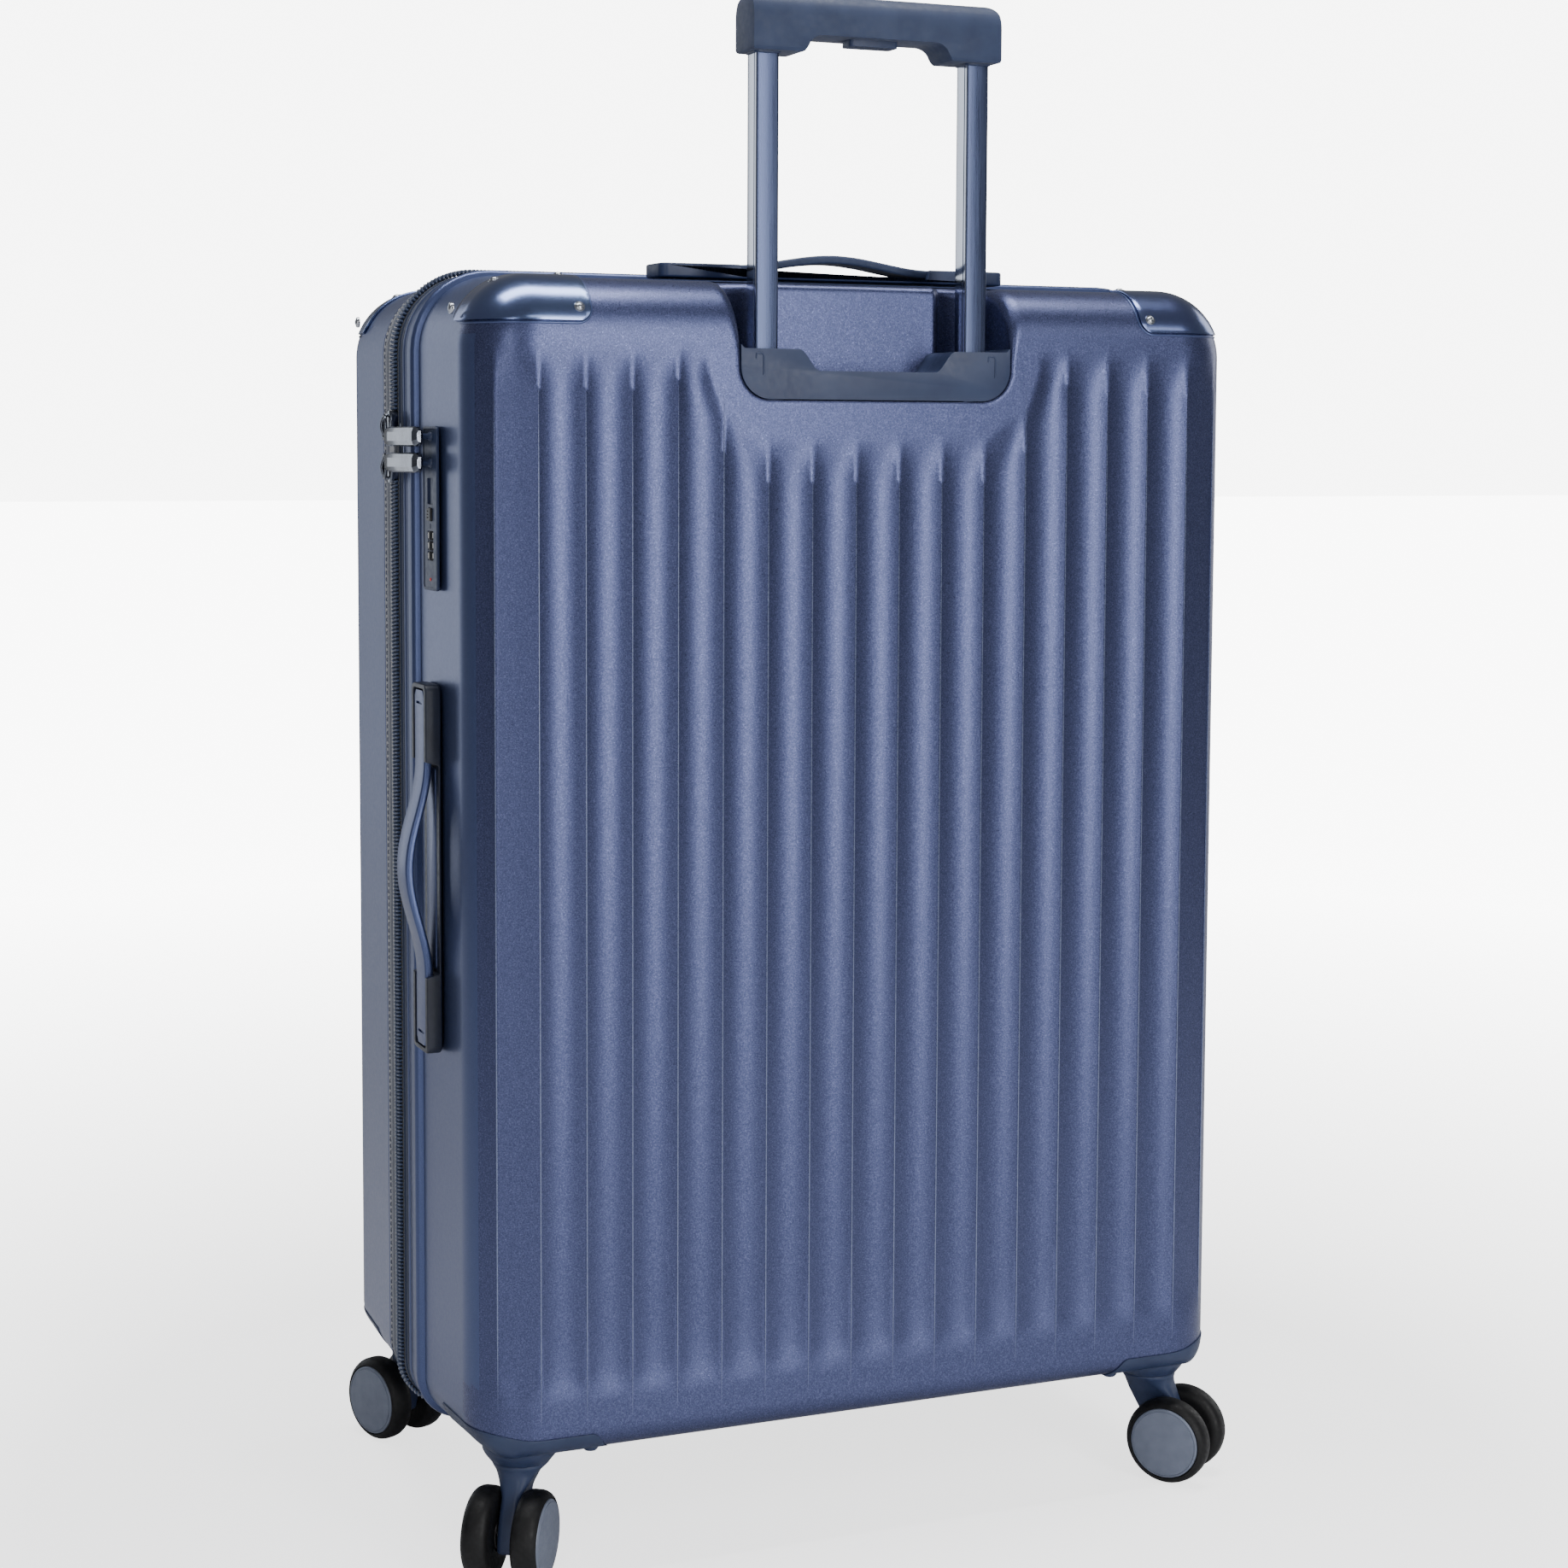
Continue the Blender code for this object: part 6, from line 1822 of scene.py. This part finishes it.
def build_divider():
    low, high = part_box("divider_panel")
    half_w, half_h = high.x - 0.0006, (high.z - low.z) / 2 - 0.0006
    x, z = divider_grid(62, 84, half_w, half_h, 0.0335)
    bm = bmesh.new()
    skins = []
    for y in (low.y + 0.0002, high.y - 0.0002):
        skins.append([[bm.verts.new((float(a), y, float(b))) for a, b in zip(*line)] for line in zip(x, z)])
    for skin in skins:
        for a, b in zip(skin, skin[1:]):
            bridge(bm, a, b, closed=False)
    loop = grid_border(*x.shape)
    bridge(bm, [skins[0][i][j] for i, j in loop], [skins[1][i][j] for i, j in loop])
    bmesh.ops.recalc_face_normals(bm, faces=bm.faces[:])
    panel = new_piece("divider_pad", bm, look("lining"), sharp=70.0)
    zip_z = MID_Z + 0.205
    pocket_z = zip_z - 0.146

    def pinned(co):
        edge = min(half_w - abs(co.x), half_h - abs(co.z - MID_Z)) < 0.010
        corner = math.hypot(max(abs(co.x) - (half_w - 0.0335), 0),
                            max(abs(co.z - MID_Z) - (half_h - 0.0335), 0)) > 0.0245
        on_line = abs(co.z - zip_z) < 0.0105 or abs(co.z - pocket_z) < 0.0085
        on_rib = min(abs(co.x - rib) for rib in PAD_RIBS) < 0.0045 and co.z < zip_z
        return 1.0 if edge or corner or on_line or on_rib else 0.0

    settle_cloth(panel, pinned, 1.2, -0.02, 0.0022, 12)
    finer = panel.modifiers.new("finer", "SUBSURF")
    finer.levels = finer.render_levels = 1
    apply_modifiers(panel, 60.0)
    put(panel, "lid", "lining", "divider_panel")
    border = []
    for dx, dz in divider_border(half_w, half_h, 0.0335):
        border.append((dx, (low.y + high.y) / 2, dz))
    binding = wire("divider_binding", border, 0.0017, "webbing", closed=True)
    put(binding, "lid", "webbing")
    face = high.y
    for number, seam in enumerate((-0.121, 0.0, 0.121)):
        put(seam_piece("divider_seam_%d" % number,
                       [(seam, face - 0.0002, v) for v in np.arange(low.z + 0.014, zip_z - 0.008, 0.0045)],
                       Vector((0, 0, 1)), Vector((0, 1, 0))), "lid", "lining")
    tape = new_piece("divider_zip_tape",
                     prism(rounded(half_w - 0.012, 0.0085, (0.0, zip_z), 0.003), face - 0.0004,
                           face + 0.0009, "y"), look("tape"))
    put(tape, "lid", "webbing")
    for row, shift in (("upper", 0.0013), ("lower", -0.0013)):
        put(seam_piece("divider_zip_" + row,
                       [(v, face + 0.0011, zip_z + shift)
                        for v in np.arange(-half_w + 0.016, half_w - 0.016, 0.0021)],
                       Vector((0, 0, 1)), Vector((0, 1, 0)), 0.0016, 0.0008), "lid", "webbing")
    slider = new_piece("divider_zip_slider",
                       prism(rounded(0.0050, 0.0036, (0.205, zip_z), 0.0016), face + 0.0013, face + 0.0033,
                             "y"), look("gunmetal"))
    bevelled(slider, 0.0005, 2, 40.0)
    put(slider, "lid", "gunmetal")
    tab = new_piece("divider_zip_tab",
                    prism(rounded(0.0110, 0.0026, (0.192, zip_z - 0.0005), 0.0012), face + 0.0034,
                          face + 0.0045, "y"), look("gunmetal"))
    bevelled(tab, 0.0004, 2, 40.0)
    put(tab, "lid", "gunmetal")
    net = new_piece("divider_mesh_pocket",
                    net_mesh(half_w - 0.014, low.z + 0.016, pocket_z - 0.004, face + 0.0025), look("tape"))
    put(net, "lid", "webbing")
    top = prism(rounded(half_w - 0.014, 0.0070, (0.0, pocket_z), 0.002), face + 0.0020, face + 0.0032, "y")
    band = new_piece("mesh_pocket_band", top, look("webbing"))
    bevelled(band, 0.0004, 2, 40.0)
    put(band, "lid", "webbing")


def divider_border(half_w, half_h, corner):
    points = []
    for sx, sz, start in ((1, -1, -90), (1, 1, 0), (-1, 1, 90), (-1, -1, 180)):
        for step in range(9):
            angle = math.radians(start + 90 * step / 8)
            points.append((sx * (half_w - corner) + corner * math.cos(angle),
                           MID_Z + sz * (half_h - corner) + corner * math.sin(angle)))
    return points


def net_mesh(half_w, low_z, high_z, y):
    """Knitted net: diamond cells of thin flat threads."""
    pitch = 0.0075
    columns = int(2 * half_w / pitch)
    rows = int((high_z - low_z) / pitch)
    verts, faces = [], []
    width, depth = 0.00055, 0.00030

    def strand(a, b):
        way = (b - a).normalized()
        side = Vector((way.z, 0.0, -way.x)) * width
        base = len(verts)
        for p in (a, b):
            for q, rise in ((side, 0.0), (side * 0.3, depth * 2), (-side * 0.3, depth * 2), (-side, 0.0)):
                verts.append(tuple(p + q + Vector((0, rise, 0))))
        for k in range(4):
            faces.append((base + k, base + (k + 1) % 4, base + 4 + (k + 1) % 4, base + 4 + k))

    step_x, step_z = 2 * half_w / columns, (high_z - low_z) / rows
    for j in range(rows):
        for i in range(columns):
            x0, z0 = -half_w + i * step_x, low_z + j * step_z
            a, b = Vector((x0, y, z0)), Vector((x0 + step_x, y, z0 + step_z))
            c, d = Vector((x0 + step_x, y, z0)), Vector((x0, y, z0 + step_z))
            if (i + j) % 2:
                strand(a, b)
            else:
                strand(c, d)
    mesh = bpy.data.meshes.new("net")
    mesh.from_pydata(verts, [], faces)
    bm = bmesh.new()
    bm.from_mesh(mesh)
    bpy.data.meshes.remove(mesh)
    bmesh.ops.recalc_face_normals(bm, faces=bm.faces[:])
    return bm


def ribbon(points, half_w, thickness, across_way):
    """Flat woven strap along a line of points, with rounded long edges."""
    rings = []
    for k, p in enumerate(points):
        ahead = points[min(k + 1, len(points) - 1)]
        behind = points[max(k - 1, 0)]
        way = (Vector(ahead) - Vector(behind)).normalized()
        up = Vector(across_way)
        side = way.cross(up).normalized()
        up = side.cross(way).normalized()
        rings.append([Vector(p) + side * a + up * b for a,
                      b in rounded(half_w, thickness / 2, (0.0, 0.0), thickness * 0.42, 3)])
    return loft(rings)


def build_straps():
    low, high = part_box("packing_straps")
    pieces = []
    for sign, y in ((1, low.y + 0.0005), (-1, high.y - 0.0001)):
        line = []
        for t in np.linspace(-1, 1, 61):
            sag = 0.0008 * math.sin(9 * t) * (1 - t * t)
            line.append((0.2405 * t, y + sag, MID_Z + sign * 0.2000 * t))
        pieces.append(ribbon(line, 0.0125, 0.0012, (0, 1, 0)))
    straps = new_piece("packing_webbing", merged(*pieces), look("webbing"), sharp=50.0)
    put(straps, "case", "webbing", "packing_straps")
    ends = []
    for sx in (1, -1):
        for sz in (1, -1):
            ends.append(moved(prism(rounded(0.0190, 0.0140, (0.0, 0.0), 0.0025), 0.0, 0.0016, "y"),
                              Matrix.Translation((sx * 0.2250, low.y - 0.0006, MID_Z + sz * 0.1870))
                              @ Matrix.Rotation(-sx * sz * STRAP_TILT, 4, "Y")))
    anchors = new_piece("strap_anchors", merged(*ends), look("tape"))
    bevelled(anchors, 0.0004, 2, 40.0)
    put(anchors, "case", "webbing")
    adjusters = []
    for sx in (1, -1):
        for sz in (1, -1):
            frame_ring = []
            for a, b in (((0.0165, 0.0100)), ((0.0125, 0.0062))):
                frame_ring.append([(u, v) for u, v in rounded(a, b, (0.0, 0.0), 0.0022, 4)])
            rings = [[(u, h, v) for u, v in points] for points, h in
                     ((frame_ring[0], -0.0016), (frame_ring[0], 0.0010), (frame_ring[1], 0.0010),
                      (frame_ring[1], -0.0016), (frame_ring[0], -0.0016))]
            ring = loft(rings, caps=False)
            bmesh.ops.remove_doubles(ring, verts=ring.verts[:], dist=1e-7)
            bar = block((-0.0020, -0.0016, -0.0090), (0.0020, 0.0004, 0.0090))
            adjusters.append(moved(merged(ring, bar),
                                   Matrix.Translation((sx * 0.1290, low.y - 0.0006, MID_Z + sz * 0.1073))
                                   @ Matrix.Rotation(math.pi / 2 - sx * sz * STRAP_TILT, 4, "Y")))
    slides = new_piece("strap_adjusters", merged(*adjusters), look("plastic"), sharp=40.0)
    bevelled(slides, 0.0003, 1, 60.0)
    put(slides, "case", "navy_plastic")
    low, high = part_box("strap_clip")
    middle_z = (low.z + high.z) / 2
    body = new_piece("clip_body",
                     prism(rounded(high.x, (high.z - low.z) / 2, (0.0, middle_z), 0.0085, 8),
                           low.y + 0.0006, high.y, "y"), look("plastic"))
    for sx in (1, -1):
        carve(body, prism(rounded(0.0035, 0.0105, (sx * 0.0205, middle_z), 0.0015, 4), low.y - 0.001,
                          high.y + 0.001, "y"))
    carve(body, prism(rounded(0.0115, 0.0150, (0.0, middle_z), 0.0040, 5), low.y - 0.001, low.y + 0.0020,
                      "y"))
    coat(body, "plastic")
    bevelled(body, 0.0008, 3, 40.0)
    put(body, "case", "navy_plastic", "strap_clip")
    press = new_piece("clip_press",
                      prism(rounded(0.0095, 0.0130, (0.0, middle_z), 0.0032, 5), low.y + 0.0003,
                            low.y + 0.0024, "y"), look("guard"))
    bevelled(press, 0.0006, 3, 40.0)
    put(press, "case", "gunmetal")


def build_gusset():
    """Woven hinge strip from the case to the lid."""
    low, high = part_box("hinge_fabric")
    bm = bmesh.new()
    x = high.x - 0.0004
    ys = np.linspace(0.0390, -0.0150, 28)
    zs = np.linspace(low.z + 0.001, high.z - 0.001, 61)
    rows = []
    for y in ys:
        bulge = 0.0010 * math.exp(-((y - ZIP_Y) / 0.006) ** 2)
        rows.append([bm.verts.new((x - bulge - 0.0002 * math.sin(z * 260.0), y, z)) for z in zs])
    for a, b in zip(rows, rows[1:]):
        bridge(bm, a, b, closed=False)
    bmesh.ops.recalc_face_normals(bm, faces=bm.faces[:])
    strip = new_piece("hinge_gusset", bm, look("tape"), sharp=60.0)
    give_thickness(strip, 0.0009, 0)
    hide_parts("hinge_fabric")
    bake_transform(strip)


def dress_hidden_nodes():
    """Finishes of the solids that keep their own mesh."""
    finishes = {"trolley_base_bracket": "plastic", "push_rod_lock": "steel", "push_rod_hinge": "steel"}
    for tag, _, _ in CORNER_TAGS:
        finishes["caster_axle_" + tag] = "steel"
    for node, name in finishes.items():
        for slot in bpy.data.objects[node].material_slots:
            slot.material = look(name)


def build_inside():
    build_linings()
    build_divider()
    build_straps()
    build_gusset()
    dress_hidden_nodes()


# ---- camera, floor and light ----------------------------------------------------------------
def area_light(name, place, target, size, power, colour=(1.0, 1.0, 1.0)):
    data = bpy.data.lights.new(name, "AREA")
    data.shape = "RECTANGLE"
    data.size, data.size_y = size
    data.energy = power
    data.color = colour
    lamp = bpy.data.objects.new(name, data)
    lamp.location = place
    lamp.rotation_euler = (Vector(target) - Vector(place)).to_track_quat("-Z", "Y").to_euler()
    bpy.context.scene.collection.objects.link(lamp)
    return lamp


def build_stage():
    floor = new_piece("studio_floor", prism(rounded(30.0, 30.0, radius=2.0), -0.02, 0.0), look("floor"),
                      smooth=False)

    camera_data = bpy.data.cameras.new("camera")
    camera_data.sensor_width = 36.0
    camera_data.lens = 64.18
    camera_data.shift_x = 0.0098
    camera_data.shift_y = -0.0697
    camera = bpy.data.objects.new("camera", camera_data)
    yaw, pitch, roll = math.radians(22.6895), math.radians(4.7298), math.radians(0.2303)
    forward = Vector((-math.sin(yaw) * math.cos(pitch), -math.cos(yaw) * math.cos(pitch), -math.sin(pitch)))
    right = Vector((-math.cos(yaw), math.sin(yaw), 0.0))
    up = right.cross(forward)
    right_rolled = math.cos(roll) * right + math.sin(roll) * up
    up_rolled = -math.sin(roll) * right + math.cos(roll) * up
    turn = Matrix((right_rolled, up_rolled, -forward)).transposed()
    camera.matrix_world = Matrix.Translation((0.7100, 1.6787, 0.6737)) @ turn.to_4x4()
    bpy.context.scene.collection.objects.link(camera)
    bpy.context.scene.camera = camera

    world = bpy.data.worlds.new("studio")
    world.use_nodes = True
    tree = world.node_tree
    soft = tree.nodes["Background"]
    soft.inputs["Color"].default_value = (0.93, 0.95, 1.0, 1.0)
    soft.inputs["Strength"].default_value = 0.20
    backdrop = tree.nodes.new("ShaderNodeBackground")
    backdrop.inputs["Strength"].default_value = 9.0
    mix = tree.nodes.new("ShaderNodeMixShader")
    tree.links.new(tree.nodes.new("ShaderNodeLightPath").outputs["Is Camera Ray"], mix.inputs["Fac"])
    tree.links.new(soft.outputs["Background"], mix.inputs[1])
    tree.links.new(backdrop.outputs["Background"], mix.inputs[2])
    tree.links.new(mix.outputs["Shader"], tree.nodes["World Output"].inputs["Surface"])
    bpy.context.scene.world = world

    middle = (0.0, 0.0, 0.42)
    area_light("front_top", (-0.6, 2.0, 2.05), (0.0, 0.1, 0.7), (2.0, 0.5), 8.0)
    area_light("overhead", (0.0, 0.05, 2.3), (0.0, 0.1, 0.7), (1.8, 0.45), 34.0)
    area_light("key_strip", (-0.55, 2.3, 0.9), middle, (0.45, 2.0), 28.0)
    area_light("left_panel", (1.45, 2.1, 0.9), middle, (0.45, 2.0), 12.0)
    area_light("side_back", (1.25, -2.3, 0.9), (0.25, 0.0, 0.42), (1.0, 1.8), 8.0, (0.86, 0.92, 1.0))
    area_light("rim_panel", (-2.2, -0.6, 1.0), middle, (0.8, 1.8), 10.0)


def main():
    build_shells()
    build_crest_beads()
    build_guards()
    build_zip()
    build_zip_pulls()
    build_trolley()
    build_lock()
    build_side_handle()
    build_top_handle()
    build_casters()
    build_inside()
    build_stage()


main()
